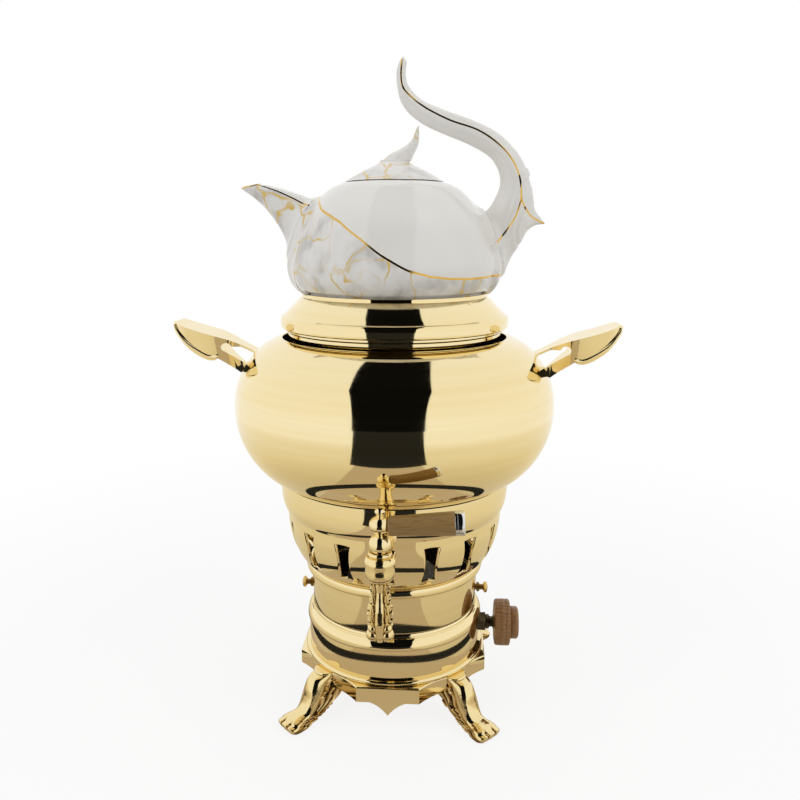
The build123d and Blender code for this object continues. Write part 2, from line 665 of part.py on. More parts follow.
plug_top = housing_top - turn_gap
plug_base = plug_foot + turn_gap
plug = Pos(0, 0, (plug_base + plug_top) / 2) * Cylinder(plug_radius, plug_top - plug_base)
plug += Pos(0, 0, (plug_top + ring_top + 3) / 2) * Cylinder(plug_neck_radius, ring_top + 3 - plug_top)
plug -= Pos(0, 0, plug_base) * Cylinder(tap_bore, 2 * (tap_height - plug_base))
plug -= along_x(tap_bore, -plug_radius - 1, 0, tap_height)
ball_height = ring_top + turn_gap + ball_radius * 0.62
ball = Pos(0, 0, ball_height) * Sphere(ball_radius)
below = Box(4 * ball_radius, 4 * ball_radius, 2 * ball_radius)
ball -= Pos(0, 0, ring_top + turn_gap - ball_radius) * below
bulb_foot = ball_height + ball_radius * 0.8
bulb = filled([(3.6, bulb_foot), (bulb_radius * 0.93, bulb_foot + bulb_height * 0.3),
               (bulb_radius, bulb_foot + bulb_height * 0.52),
               (bulb_radius * 0.72, bulb_foot + bulb_height * 0.83), (2.2, bulb_foot + bulb_height)])
bud_radius = 2.4
bud = Pos(0, 0, bulb_foot + bulb_height + bud_radius * 0.6) * Sphere(bud_radius)
save("tap_plug", Pos(0, -tap_axis, 0) * (plug + ball + bulb + bud))

lever_height = bulb_foot + bulb_height * 0.5
lever_place = Pos(0, -tap_axis, lever_height) * Rot(0, -lever_tilt, 0)
lever_end = lever_start + lever_length
cap_end = lever_end + lever_cap_length
wood = Rot(0, 90, 0) * Cone(lever_root_radius, lever_end_radius, lever_length)
wood = Pos((lever_start + lever_end) / 2, 0, 0) * wood
wood -= along_x(lever_rod_radius, 0, lever_end + 1)
wood = lever_place * wood - Pos(0, -tap_axis, 0) * bulb
save("lever_wood", wood)
lever_rod = lever_place * along_x(lever_rod_radius, 1, lever_end + lever_cap_length / 2)
save("lever_rod", lever_rod - Pos(0, -tap_axis, 0) * bulb)
cap = Pos((lever_end + cap_end) / 2, 0, 0) * Rot(0, 90, 0) * Cylinder(lever_end_radius, lever_cap_length)
cap = fillet(cap.edges().sort_by(Axis.X)[-1], 2.2)
cap -= along_x(lever_rod_radius, lever_start, lever_end + lever_cap_length / 2)
save("lever_cap", lever_place * cap)

# ---- gas valve, knob, burner and inlet -----------------------------------------------------
drum_bore = drum_radius - sheet
gland_face = drum_radius + gland_thickness
inside_drum = Pos(0, 0, gas_axis_height) * Cylinder(drum_bore, gas_axis_height)
outside_drum = Cylinder(2 * drum_radius, gas_axis_height) - Cylinder(drum_radius, gas_axis_height)
outside_drum = Pos(0, 0, gas_axis_height) * outside_drum
valve = Box(drum_bore - valve_inner, valve_block, valve_block)
valve = Pos((valve_inner + drum_bore) / 2, 0, gas_axis_height) * valve & inside_drum
valve += along_x(gland_bore, drum_bore - 6, gland_face, gas_axis_height)
valve -= along_x(stem_radius + stem_clearance, valve_inner + 9, gland_face + 1, gas_axis_height)
valve -= along_x(pipe_bore, valve_inner - 1, valve_inner + 10, gas_axis_height)
inlet_x = valve_inner + 11
valve -= Pos(inlet_x, valve_block / 2, gas_axis_height) * Rot(90, 0, 0) * Cylinder(pipe_bore, valve_block)
save("valve_body", valve)

nut = extrude(RegularPolygon(gland_width / 2, 6, major_radius=False), -2 * gland_thickness)
nut = Pos(gland_face, 0, gas_axis_height) * Rot(0, 90, 0) * nut & outside_drum
save("gland_nut", nut - along_x(gland_bore, valve_inner, gland_face + 1, gas_axis_height))

knob_back = gland_face + knob_gap
knob_front = knob_back + knob_thickness
knob_face = knob_front + knob_hub_thickness
stem_start = valve_inner + 9 + turn_gap
stem = along_x(stem_radius, stem_start, knob_front, gas_axis_height)
stem -= along_x(pipe_bore - 0.8, stem_start - 1, stem_start + 8, gas_axis_height)
collar_start = gland_face + turn_gap
stem += along_x(gland_bore, collar_start, collar_start + 2.5, gas_axis_height)
save("valve_stem", stem)
knob = along_x(knob_radius, knob_back, knob_front, gas_axis_height)
knob = fillet(knob.edges().filter_by(GeomType.CIRCLE), 1.2)
save("knob_disc", knob - along_x(stem_radius, knob_back - 1, knob_front + 1, gas_axis_height))
hub = along_x(knob_hub_radius, knob_front, knob_face, gas_axis_height)
hub = fillet(hub.edges().filter_by(GeomType.CIRCLE).sort_by(Axis.X)[-1], 1.5)
hub -= along_x(knob_screw_radius + 1.5, knob_face - 3, knob_face + 1, gas_axis_height)
hub -= along_x(knob_screw_radius, knob_front - 1, knob_face + 1, gas_axis_height)
save("knob_hub", hub)
knob_screw = along_x(knob_screw_radius + 1.5, knob_face - 3, knob_face - 1, gas_axis_height)
knob_screw += along_x(knob_screw_radius, knob_front, knob_face - 2, gas_axis_height)
knob_screw -= Pos(knob_face - 1, 0, gas_axis_height) * Box(1.6, 10, 1)
save("knob_screw", knob_screw)

jet = along_x(jet_radius, valve_inner - jet_length, valve_inner, gas_axis_height)
save("gas_jet", jet - along_x(0.6, valve_inner - jet_length - 1, valve_inner + 1, gas_axis_height))

mixing_mouth = valve_inner - jet_length + jet_overlap
burner_floor = burner_base + burner_wall
bend = Polyline((mixing_mouth, 0, gas_axis_height), (0, 0, gas_axis_height), (0, 0, burner_floor))
bend = fillet(bend.vertices().sort_by_distance((0, 0, gas_axis_height))[0], mixing_radius + 4)
ring = Plane(origin=bend @ 0, z_dir=bend % 0)
mixing_tube = sweep(ring * Circle(mixing_radius), bend)
save("mixing_tube", mixing_tube - sweep(ring * Circle(mixing_radius - burner_wall), bend))

burner_top = burner_base + burner_height
burner_bore = burner_radius - burner_wall
burner = turned([(mixing_radius, burner_base), (burner_radius - 4, burner_base),
                 (burner_radius, burner_base + 4), (burner_radius, burner_top), (burner_bore, burner_top),
                 (burner_bore, burner_floor + 2.5), (burner_bore - 2.5, burner_floor),
                 (mixing_radius, burner_floor)])
port = Rot(0, 90, 0) * Cylinder(port_radius, 3 * burner_wall)
port = Pos(burner_radius, 0, burner_top - port_drop) * port
for cut in around(port, burner_ports):
    burner -= cut
save("burner_head", burner)
burner_cap = filled([(burner_radius, burner_top),
                     (burner_radius - 1.5, burner_top + burner_cap_height * 0.45),
                     (burner_radius - 12, burner_top + burner_cap_height * 0.85),
                     (4, burner_top + burner_cap_height)])
burner_cap += Pos(0, 0, burner_top - 1) * Cylinder(burner_bore, 2)
save("burner_cap", burner_cap)

sleeve_bore = sleeve_out - sheet
bridge_top = thumb_height + 6
bridge = Box(2 * sleeve_bore, bridge_width, bridge_thickness)
bridge = Pos(0, 0, burner_base - bridge_thickness / 2) * bridge
for side in (-1, 1):
    ear = Pos(side * (sleeve_bore - 2), 0, (burner_base - bridge_thickness + bridge_top) / 2)
    bridge += ear * Box(4, bridge_width, bridge_top - burner_base + bridge_thickness)
bridge = bridge & Pos(0, 0, burner_base) * Cylinder(sleeve_bore, bridge_top)
bridge -= Pos(0, 0, burner_base) * Cylinder(mixing_radius, 3 * bridge_thickness)
save("burner_bridge", bridge - along_x(thumb_bore, -sleeve_bore - 1, sleeve_bore + 1, thumb_height))

thumb_seat = waist_radius + waist_flare + turn_gap
thumb = along_x(thumb_shank_radius, sleeve_bore - 8, thumb_reach - 4, thumb_height)
thumb += along_x(thumb_shank_radius + 1.2, thumb_seat, thumb_seat + thumb_collar_width, thumb_height)
thumb_face = thumb_reach - thumb_head_radius
front_half = Box(thumb_reach, thumb_reach, thumb_reach, align=(Align.MIN, Align.CENTER, Align.CENTER))
thumb += Pos(thumb_face, 0, thumb_height) * (Sphere(thumb_head_radius) & front_half)
for name, turn in (("thumb_screw_right", 0), ("thumb_screw_left", 180)):
    save(name, Rot(0, 0, turn) * thumb)

nozzle_seat = drum_radius + 4
nozzle = along_y(nozzle_radius, -inlet_reach, -drum_radius, gas_axis_height)
nozzle += along_y(nozzle_radius + 3, -nozzle_seat, -drum_radius + 3, gas_axis_height) & outside_drum
nozzle += along_y(pipe_radius, -drum_radius - 2, -drum_bore + 8, gas_axis_height)
save("inlet_nozzle", nozzle - along_y(pipe_bore, -inlet_reach - 1, -drum_bore + 9, gas_axis_height))
inlet_nut = along_y(pipe_radius + 4, -drum_bore, -drum_bore + 5, gas_axis_height) & inside_drum
save("inlet_nut", inlet_nut - along_y(pipe_radius, -drum_radius, 0, gas_axis_height))

pipe_start = valve_block / 2
pipe_turn = drum_bore - 22.8
pipe_corners = [(inlet_x, pipe_start), (inlet_x, pipe_start + 17), (inlet_x - 19, pipe_turn),
                (0, pipe_turn), (0, drum_bore - 8)]
route = FilletPolyline(*[(x, y, gas_axis_height) for x, y in pipe_corners], radius=pipe_bend)
end = Plane(origin=route @ 0, z_dir=route % 0)
save("gas_pipe", sweep(end * Circle(pipe_radius), route) - sweep(end * Circle(pipe_bore), route))

# ---- teapot --------------------------------------------------------------------------------
pot_profile = [(pot_foot_radius + 1.6, pot_foot_height), (pot_belly_radius - 2.2, pot_height * 0.13),
               (pot_belly_radius, pot_belly_rise), (pot_belly_radius - 4.5, pot_height * 0.5),
               (pot_belly_radius - 13.8, pot_height * 0.737), (pot_mouth_radius + 11.8, pot_height * 0.94),
               (pot_mouth_radius, pot_height)]
pot_solid = filled([(r, pot_foot + z) for r, z in pot_profile])
pot_solid += Pos(0, 0, pot_foot + pot_foot_height / 2) * Cylinder(pot_foot_radius, pot_foot_height)
lining = inset(pot_profile, pot_wall)[1:-1]
cavity_foot = (pot_foot_radius - pot_wall, pot_foot + pot_wall + 1.5)
cavity = filled([cavity_foot] + [(r, pot_foot + z) for r, z in lining])
cavity += Pos(0, 0, pot_rim) * Cylinder(pot_bore, 4 * pot_wall)

# Sections of the spout: share of its reach, then height, lean, depth and width, where all but
# the lean are shares of the pot's height.
beak = [(0.407, 0.35, 137, 0.7453, 0.5963), (0.566, 0.6, 139, 0.5217, 0.3975),
        (0.664, 0.735, 142.7, 0.3727, 0.2981), (0.779, 0.85, 149, 0.2484, 0.2112),
        (0.889, 0.93, 153, 0.1553, 0.1429), (1, 0.995, 152, 0.1118, 0.1118)]


def spout_skin(wall):
    """Outside of the teapot's spout, less a wall."""
    return bent_loft([(-reach * spout_reach, pot_foot + rise * pot_height, lean,
                       across * pot_height - 2 * wall, depth * pot_height - 2 * wall)
                      for reach, rise, lean, across, depth in beak])


mouth = Pos(-spout_lip, 0, pot_rim - 0.7) * Rot(0, -10.2, 0)
beak_cut = mouth * Box(60, 60, 40, align=(Align.MAX, Align.CENTER, Align.MIN))
strainer_height = pot_foot + strainer_level * pot_height
strainer = []
for row in range(-1, 2):
    for column in range(-1, 2):
        hole = Rot(0, 90, 0) * Rot(0, 0, 45) * Cylinder(strainer_hole, pot_belly_radius)
        hole = Rot(0, 0, strainer_turn * column) * Pos(-pot_belly_radius, 0, 0) * hole
        strainer.append(Pos(0, 0, strainer_height + strainer_pitch * row) * hole)

# Sections of the handle and its spur, in the same way.
grip_curve = [(0.69, 0.22, 50, 0.2981, 0.1988), (0.971, 0.745, 80, 0.3354, 0.1863),
              (0.983, 1.03, 100, 0.2547, 0.1553), (0.816, 1.304, 140, 0.2174, 0.1366),
              (0.46, 1.491, 157, 0.1963, 0.1242), (0.155, 1.658, 133, 0.1429, 0.1118),
              (0.056, 1.876, 95, 0.09317, 0.08696), (0.076, 2.055, 79, 0.03727, 0.03727)]
spur_curve = [(1.012, 0.84, -35, 0.2733, 0.1491), (1.126, 0.735, -48, 0.1491, 0.09938),
              (1.253, 0.635, -42, 0.01863, 0.02484)]


def pot_branch(sections):
    """Bent skin on the handle's side of the teapot."""
    return bent_loft([(reach * pot_handle_reach, pot_foot + rise * pot_height, lean,
                       across * pot_height, depth * pot_height)
                      for reach, rise, lean, across, depth in sections])


teapot = pot_solid - cavity
for hole in strainer:
    teapot -= hole
save("teapot", teapot)
save("teapot_spout", spout_skin(0) - pot_solid - spout_skin(spout_wall) - beak_cut)
save("teapot_handle", pot_branch(grip_curve) + pot_branch(spur_curve) - pot_solid)

lid_foot = pot_rim + lift_gap
cone_top = pot_bore - spigot_clearance
cone_foot = cone_top - lid_drop * tan(radians(lid_lift_angle))
dome = filled([(pot_mouth_radius, lid_foot), (pot_mouth_radius - 6, lid_foot + 4.4),
               (pot_mouth_radius - 14, lid_foot + 8.6), (12.3, lid_foot + 12.9), (6, lid_foot + lid_rise)])
cone_floor = lid_foot - lid_drop
dome += turned([(0, lid_foot), (cone_top, lid_foot), (cone_foot, cone_floor), (0, cone_floor)])
dome -= filled([(cone_foot - lid_wall, lid_foot - lid_drop - 1), (cone_foot - lid_wall, lid_foot - 1),
                (pot_mouth_radius - 12, lid_foot + 3.6), (12, lid_foot + 8.4), (3, lid_foot + 9.6)])
flame = bent_loft([(0, lid_foot + lid_rise - 4.5, 90, 23, 23),
                   (0, lid_foot + flame_height * 0.43, 90, 21, 20),
                   (3.4, lid_foot + flame_height * 0.53, 62, 17, 16),
                   (9.8, lid_foot + flame_height * 0.635, 55, 10.5, 10),
                   (15, lid_foot + flame_height * 0.755, 68, 6.2, 6),
                   (16.9, lid_foot + flame_height * 0.875, 84, 4.4, 4),
                   (17.2, lid_foot + flame_height, 90, 1.6, 1.6)])
steam = Pos(-pot_mouth_radius + 16, 0, lid_foot) * Cylinder(lid_vent, 40)
save("teapot_lid", dome + flame - steam)
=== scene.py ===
import json
from math import asin, cos, pi, radians, sin, sqrt

import bmesh
import bpy
import numpy as np
from mathutils import Matrix, Vector


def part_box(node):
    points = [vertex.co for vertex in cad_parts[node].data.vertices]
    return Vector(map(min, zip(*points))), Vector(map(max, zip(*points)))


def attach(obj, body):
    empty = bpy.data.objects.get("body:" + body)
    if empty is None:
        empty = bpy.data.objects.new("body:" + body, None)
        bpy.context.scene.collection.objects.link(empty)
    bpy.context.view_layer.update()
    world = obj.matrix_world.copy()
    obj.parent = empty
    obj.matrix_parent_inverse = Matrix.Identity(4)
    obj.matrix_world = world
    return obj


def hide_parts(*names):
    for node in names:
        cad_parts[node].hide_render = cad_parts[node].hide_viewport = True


# Gas samovar with its teapot. Shapes are worked out in millimetres, in the row frame, and
# written to the meshes in metres.

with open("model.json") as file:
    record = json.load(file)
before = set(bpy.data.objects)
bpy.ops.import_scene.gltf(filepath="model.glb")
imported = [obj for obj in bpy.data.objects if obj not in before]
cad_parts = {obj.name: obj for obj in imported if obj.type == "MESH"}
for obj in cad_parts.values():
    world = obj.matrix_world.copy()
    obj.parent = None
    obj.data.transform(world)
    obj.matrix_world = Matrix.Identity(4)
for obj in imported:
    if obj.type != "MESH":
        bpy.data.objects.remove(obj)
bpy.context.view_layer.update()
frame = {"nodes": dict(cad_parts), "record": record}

MM = 0.001
ROUND = 256                 # points round a large spun piece
SMALL_ROUND = 96            # points round a small turned piece
CREASE = radians(38)        # a sharper edge than this isn't smoothed over


def extent(node):
    """Foot, top and reach along X of a CAD node, in mm."""
    low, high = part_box(node)
    return low[2] / MM, high[2] / MM, high[0] / MM


# ---- surfaces ----
def unit(vectors):
    """Vectors of length 1 with the same directions."""
    return vectors / np.maximum(np.linalg.norm(vectors, axis=-1, keepdims=True), 1e-9)


def leftward(steps):
    """Unit vectors square to steps in a plane, on their left."""
    way = unit(steps)
    return np.stack([-way[:, 1], way[:, 0]], -1)


def all_round(count):
    """Angles of points spread evenly over a turn."""
    return np.arange(count) * 2 * pi / count


def arc(across, up, count, first=-pi / 2, last=pi / 2):
    """Points of an ellipse about the origin, between two angles."""
    turn = np.linspace(first, last, count)
    return np.stack([across * np.cos(turn), up * np.sin(turn)], -1)


def superellipse(around, power):
    """Angles all round and the points a, b in their directions, |a|^power + |b|^power = 1."""
    turn = all_round(around)
    c, d = np.cos(turn), np.sin(turn)
    size = (np.abs(c) ** power + np.abs(d) ** power) ** (-1 / power)
    return turn, c * size, d * size


def skin(rings, fans=(False, False), loop=False):
    """Faces over a stack of closed rings: point j of a ring joins point j of the next one. A fan
    closes an end ring on its middle; loop joins the last ring to the first."""
    count, around = rings.shape[:2]
    verts = rings.reshape(-1, 3)
    row = np.arange(count if loop else count - 1)[:, None] * around
    here = np.arange(around)
    there = (here + 1) % around
    above = (row + around) % (count * around)
    quads = np.stack([row + here, row + there, above + there, above + here], -1).reshape(-1, 4)
    tris = [np.empty((0, 3), int)]
    for wanted, ring in ((fans[0], 0), (fans[1], count - 1)):
        if wanted:
            edge = ring * around
            hub = np.full(around, len(verts))
            verts = np.vstack([verts, rings[ring].mean(0)])
            pair = (edge + there, edge + here) if ring == 0 else (edge + here, edge + there)
            tris.append(np.stack([*pair, hub], -1))
    return verts, quads, np.vstack(tris)


def facing_out(part):
    """The part with its faces turned outwards: the volume under its faces has to be positive."""
    verts, quads, tris = part
    corners = np.vstack([quads[:, [0, 1, 2]], quads[:, [0, 2, 3]], tris])
    a, b, c = (verts[corners[:, k]] for k in range(3))
    if np.einsum("ij,ij->i", a, np.cross(b, c)).sum() < 0:
        return verts, quads[:, ::-1], tris[:, ::-1]
    return part


def in_scene(name, data):
    """New object of the scene that shows the data."""
    obj = bpy.data.objects.new(name, data)
    bpy.context.scene.collection.objects.link(obj)
    return obj


def piece(name, parts, material, body, nodes=(), slot=None, crease=CREASE, values=None):
    """One mesh object from closed parts in mm. values are named lists with, for each part, its
    points' numbers or one number for them all."""
    parts = [facing_out(part) for part in parts]
    verts = np.vstack([part[0] for part in parts])
    starts = np.cumsum([0] + [len(part[0]) for part in parts[:-1]])
    faces = []
    for start, part in zip(starts, parts):
        faces += (part[1] + start).tolist() + (part[2] + start).tolist()
    mesh = bpy.data.meshes.new(name)
    mesh.from_pydata((verts * MM).tolist(), [], faces)
    mesh.polygons.foreach_set("use_smooth", np.ones(len(mesh.polygons), bool))
    mesh.set_sharp_from_angle(angle=crease)
    for key, numbers in (values or {}).items():
        spread = np.concatenate([np.broadcast_to(n, len(part[0])) for n, part in zip(numbers, parts)])
        mesh.attributes.new(key, "FLOAT", "POINT").data.foreach_set("value", spread.astype(np.float32))
    mesh.materials.append(material)
    obj = in_scene(name, mesh)
    if nodes:
        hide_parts(*nodes)
    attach(obj, body)


def flow(points, count):
    """Smooth line through the points, a Catmull-Rom curve: between two points it is the cubic
    whose end slopes are half the step from the point before to the point after."""
    p = np.array(points, float)
    p = np.vstack([2 * p[0] - p[1], p, 2 * p[-1] - p[-2]])
    where = np.linspace(0, len(p) - 3, count)
    first = np.minimum(where.astype(int), len(p) - 4)
    t = (where - first)[:, None]
    a, b, c, d = (p[first + k] for k in range(4))
    return 0.5 * (2 * b + (c - a) * t + (2 * a - 5 * b + 4 * c - d) * t ** 2 + (3 * b - a - 3 * c + d) * t ** 3)


def rounded(corners, radius=0.4, steps=5):
    """Closed outline whose sharp corners become short parabolas that start and end the radius
    away from the corner; a turn under about 15 degrees stays as it is."""
    p = np.array(corners, float)
    back, ahead = np.roll(p, 1, 0) - p, np.roll(p, -1, 0) - p
    back_length = np.linalg.norm(back, axis=1, keepdims=True)
    ahead_length = np.linalg.norm(ahead, axis=1, keepdims=True)
    turn = -(back * ahead).sum(1) / (back_length * ahead_length)[:, 0]
    sharp = turn < cos(radians(15))
    cut = np.minimum(radius, 0.45 * np.minimum(back_length, ahead_length))
    a, b = p + back / back_length * cut, p + ahead / ahead_length * cut
    t = np.linspace(0, 1, steps)[None, :, None]
    curve = (1 - t) ** 2 * a[:, None] + 2 * t * (1 - t) * p[:, None] + t ** 2 * b[:, None]
    keep = np.ones(curve.shape[:2], bool)
    keep[~sharp, 1:] = False
    curve[~sharp, 0] = p[~sharp]
    return curve[keep]


def sheet(outer, wall, lip=0.5):
    """Closed outline of a sheet: its outer line from foot to top, and the same line moved
    inwards by the wall, square to the line."""
    line = np.array(outer, float)
    inner = line + wall * leftward(np.gradient(line, axis=0))
    return rounded(np.vstack([line, inner[::-1]]), lip)


def spin(outline, around=ROUND, loop=True, centre=(0.0, 0.0)):
    """Surface turned about an upright line: radius and height of the outline, all round. Without
    loop the outline starts and ends on the line, and both ends close in a fan."""
    turn = all_round(around)
    r = np.maximum(outline[:, :1], 0.02)
    x, y = centre[0] + r * np.cos(turn), centre[1] + r * np.sin(turn)
    rings = np.stack([x, y, np.broadcast_to(outline[:, 1:], x.shape)], -1)
    return skin(rings, (not loop, not loop), loop)


def moved(part, matrix):
    """The part carried by a matrix."""
    verts, quads, tris = part
    m = np.array(matrix)
    return verts @ m[:3, :3].T + m[:3, 3], quads, tris


def laid_along(part, start, direction):
    """A part turned about Z, laid so that its Z runs from the start along a direction."""
    turn = unit(np.array(direction, float))
    side = unit(np.cross([0.0, 1.0, 0.0] if abs(turn[1]) < 0.9 else [1.0, 0.0, 0.0], turn))
    return moved(part, np.vstack([np.column_stack([side, np.cross(turn, side), turn, start]), [0, 0, 0, 1]]))


# ---- materials ----
def linear(hex_colour):
    """sRGB hex to the linear numbers that the shaders take."""
    levels_8bit = [int(hex_colour[k:k + 2], 16) / 255 for k in (1, 3, 5)]
    return [c / 12.92 if c < 0.04045 else ((c + 0.055) / 1.055) ** 2.4 for c in levels_8bit] + [1.0]


def add(tree, kind, inputs=None, out=0, stops=(), **settings):
    """One node: settings go on the node, inputs on its sockets as a value or a link, and stops,
    pairs of a place and a hex colour or grey level, on its colour ramp. Gives back the output out."""
    node = tree.nodes.new("ShaderNode" + kind)
    for key, value in settings.items():
        setattr(node, key, value)
    for key, value in (inputs or {}).items():
        if isinstance(value, bpy.types.NodeSocket):
            tree.links.new(value, node.inputs[key])
        else:
            node.inputs[key].default_value = value
    while stops and len(node.color_ramp.elements) < len(stops):
        node.color_ramp.elements.new(0.5)
    for k, (where, colour) in enumerate(stops):
        element = node.color_ramp.elements[k]
        element.position = where
        element.color = linear(colour) if isinstance(colour, str) else [colour] * 3 + [1.0]
    return node.outputs[out]


def new_material(name):
    """Empty material with its output node."""
    material = bpy.data.materials.new(name)
    material.use_nodes = True
    material.node_tree.nodes.clear()
    return material, material.node_tree, material.node_tree.nodes.new("ShaderNodeOutputMaterial")


def place(tree, scale=(1, 1, 1)):
    """Object coordinates in mm, stretched by a scale."""
    coords = add(tree, "TexCoord", out="Object")
    return add(tree, "Mapping", {"Vector": coords, "Scale": [s / MM for s in scale]})


def inside(tree, value, low, high):
    """1 where a value lies between two limits, 0 elsewhere."""
    above = add(tree, "Math", {0: value, 1: low}, operation="GREATER_THAN")
    below = add(tree, "Math", {0: value, 1: high}, operation="LESS_THAN")
    return add(tree, "Math", {0: above, 1: below}, operation="MULTIPLY")


def finish(tree, out, relief=None, height=0.0, **inputs):
    """Principled shader on the output, with an optional relief whose height is in mm."""
    if relief is not None:
        inputs["Normal"] = add(tree, "Bump", {"Height": relief, "Distance": height * MM, "Strength": 1.0})
    named = {key.replace("_", " "): value for key, value in inputs.items()}
    tree.links.new(add(tree, "BsdfPrincipled", named), out.inputs["Surface"])


def grained(name, stretch, detail, stops, gloss, height=0.0, noise_rough=0.5, **inputs):
    """Material with one fine pattern, a noise in mm with a stretch: its tone runs through the
    stops, its gloss through two limits where gloss is a pair, and it stands a height in mm high."""
    material, tree, out = new_material(name)
    grain = add(tree, "TexNoise", {"Vector": place(tree, stretch), "Scale": 1.0, "Detail": detail,
                                             "Roughness": noise_rough})
    tone = add(tree, "ValToRGB", {"Fac": grain}, stops=stops)
    if isinstance(gloss, tuple):
        gloss = add(tree, "MapRange", {"Value": grain, "To Min": gloss[0], "To Max": gloss[1]})
    finish(tree, out, grain if height else None, height, Base_Color=tone, Roughness=gloss, **inputs)
    return material


def gilt_sheet():
    """Stainless steel sheet, spun, mirror polished and coated with gold titanium nitride: sharp
    reflections, with faint rings left by the spinning tool and a slight waviness."""
    material, tree, out = new_material("stainless_gold_coated_polished")
    rings = add(tree, "TexNoise", {"Vector": place(tree, (0.003, 0.003, 0.16)), "Scale": 1.0, "Detail": 2.0})
    tone = add(tree, "ValToRGB", {"Fac": rings}, stops=[(0.3, "#F1DDA8"), (0.7, "#F5E4B6")])
    gloss = add(tree, "MapRange", {"Value": rings, "From Min": 0.35, "From Max": 0.75, "To Min": 0.035,
                                             "To Max": 0.075})
    waves = add(tree, "TexNoise", {"Vector": place(tree, (0.004, 0.004, 0.05)), "Scale": 1.0, "Detail": 1.0})
    finish(tree, out, waves, 0.12, Base_Color=tone, Metallic=1.0, Roughness=gloss)
    return material


def gilt_casting():
    """Brass, sand cast, tumbled and gold plated: soft reflections on the high places, a fine grain of
    the sand, and painted shade that darkens the hollows to brown, where the gloss is rougher."""
    material, tree, out = new_material("brass_cast_gold_plated")
    painted_shade = add(tree, "Attribute", out="Fac", attribute_name="painted_shade")
    grain = add(tree, "TexNoise", {"Vector": place(tree, (0.9, 0.9, 0.9)), "Scale": 1.0, "Detail": 4.0})
    # painted shade: the deeper the hollow, the browner the tone, down to #4A3318
    tone = add(tree, "ValToRGB", {"Fac": painted_shade}, stops=[(0.0, "#F0DBA4"), (0.4, "#C9A35C"), (1.0, "#4A3318")])
    gloss = add(tree, "MapRange", {"Value": painted_shade, "To Min": 0.08, "To Max": 0.4})
    finish(tree, out, grain, 0.05, Base_Color=tone, Metallic=1.0, Roughness=gloss)
    return material


def dull_metal(name, low, high, rough):
    """Metal with a dull, uneven skin: mottled tone and gloss."""
    return grained(name, (0.25, 0.25, 0.25), 5.0, [(0.3, low), (0.7, high)], (rough - 0.08, rough + 0.08), 0.04,
                   Metallic=1.0)


def turned_wood(name, dark, light, stretch):
    """Beech, turned and stained brown under satin lacquer: fine dark flecks along the grain."""
    return grained(name, stretch, 6.0, [(0.32, dark), (0.5, light), (0.68, dark)], 0.42, 0.06, 0.65,
                   Coat_Weight=0.25, Coat_Roughness=0.3)


def porcelain():
    """Porcelain, slip cast and glazed, with transfer-printed marble and painted gold lines: glassy
    gloss over white, grey clouds and thin gold veins. The attribute print is 1 where the marble
    lies; line and fork are distances in mm to the gold lines, which are 1.2 mm wide."""
    material, tree, out = new_material("porcelain_glazed_gold_line")
    at = place(tree)
    warp = add(tree, "TexNoise", {"Vector": at, "Scale": 0.035, "Detail": 3.0}, "Color")
    bent = add(tree, "VectorMath", {0: warp, 1: (30.0, 30.0, 30.0)}, operation="MULTIPLY")
    bent = add(tree, "VectorMath", {0: at, 1: bent}, operation="ADD")
    cracks = add(tree, "TexVoronoi", {"Vector": bent, "Scale": 0.036}, "Distance", feature="DISTANCE_TO_EDGE")
    vein = add(tree, "ValToRGB", {"Fac": cracks}, stops=[(0.0, 1.0), (0.016, 0.9), (0.036, 0.0)])
    clouds = add(tree, "TexNoise", {"Vector": bent, "Scale": 0.05, "Detail": 5.0})
    cloud_tone = add(tree, "ValToRGB", {"Fac": clouds},
                     stops=[(0.36, "#C9C6C1"), (0.5, "#E4E1DC"), (0.62, "#EAE8E4")])
    patchy = add(tree, "TexNoise", {"Vector": at, "Scale": 0.04, "Detail": 2.0})
    patch = add(tree, "ValToRGB", {"Fac": patchy}, stops=[(0.4, 0.12), (0.56, 1.0)])
    veined = add(tree, "Math", {0: vein, 1: patch}, operation="MULTIPLY")
    marble = add(tree, "Mix", {"Factor": veined, 6: cloud_tone, 7: linear("#DDBB5E")}, 2, data_type="RGBA")
    printed = add(tree, "Attribute", out="Fac", attribute_name="print")
    glaze = add(tree, "TexNoise", {"Vector": at, "Scale": 0.02, "Detail": 1.0})
    plain = add(tree, "ValToRGB", {"Fac": glaze}, stops=[(0.3, "#E6E3DD"), (0.7, "#ECEAE5")])
    ground = add(tree, "Mix", {"Factor": printed, 6: plain, 7: marble}, 2, data_type="RGBA")
    away = [add(tree, "Math", {0: add(tree, "Attribute", out="Fac", attribute_name=key)},
                operation="ABSOLUTE") for key in ("line", "fork")]
    near = add(tree, "Math", {0: away[0], 1: away[1]}, operation="MINIMUM")
    gold = add(tree, "MapRange", {"Value": near, "From Min": 0.5, "From Max": 0.72, "To Min": 1.0,
                                  "To Max": 0.0})
    tone = add(tree, "Mix", {"Factor": gold, 6: ground, 7: linear("#D9B25C")}, 2, data_type="RGBA")
    gloss = add(tree, "MapRange", {"Value": gold, "To Min": 0.07, "To Max": 0.16})
    finish(tree, out, Base_Color=tone, Metallic=gold, Roughness=gloss, IOR=1.5)
    return material


GILT = gilt_sheet()
CAST = gilt_casting()
# Steel, chromium plated: colourless mirror with a trace of haze.
CHROME = grained("steel_chromium_plated", (0.3, 0.3, 0.3), 2.0, [(0.3, "#D6D6D8"), (0.7, "#E2E2E4")],
                 (0.03, 0.09), Metallic=1.0)
STEEL = dull_metal("steel_rolled_satin", "#8C8C8A", "#A8A8A4", 0.34)
VALVE = dull_metal("brass_machined_darkened", "#4A443A", "#6B6353", 0.42)
BURNER = dull_metal("aluminium_sand_cast", "#8E8E8C", "#A3A3A0", 0.5)
LEVER_WOOD = turned_wood("beech_turned_lever", "#77592F", "#93733F", (0.05, 0.9, 0.9))
KNOB_WOOD = turned_wood("beech_turned_knob", "#75502C", "#9A7043", (0.35, 0.06, 0.9))
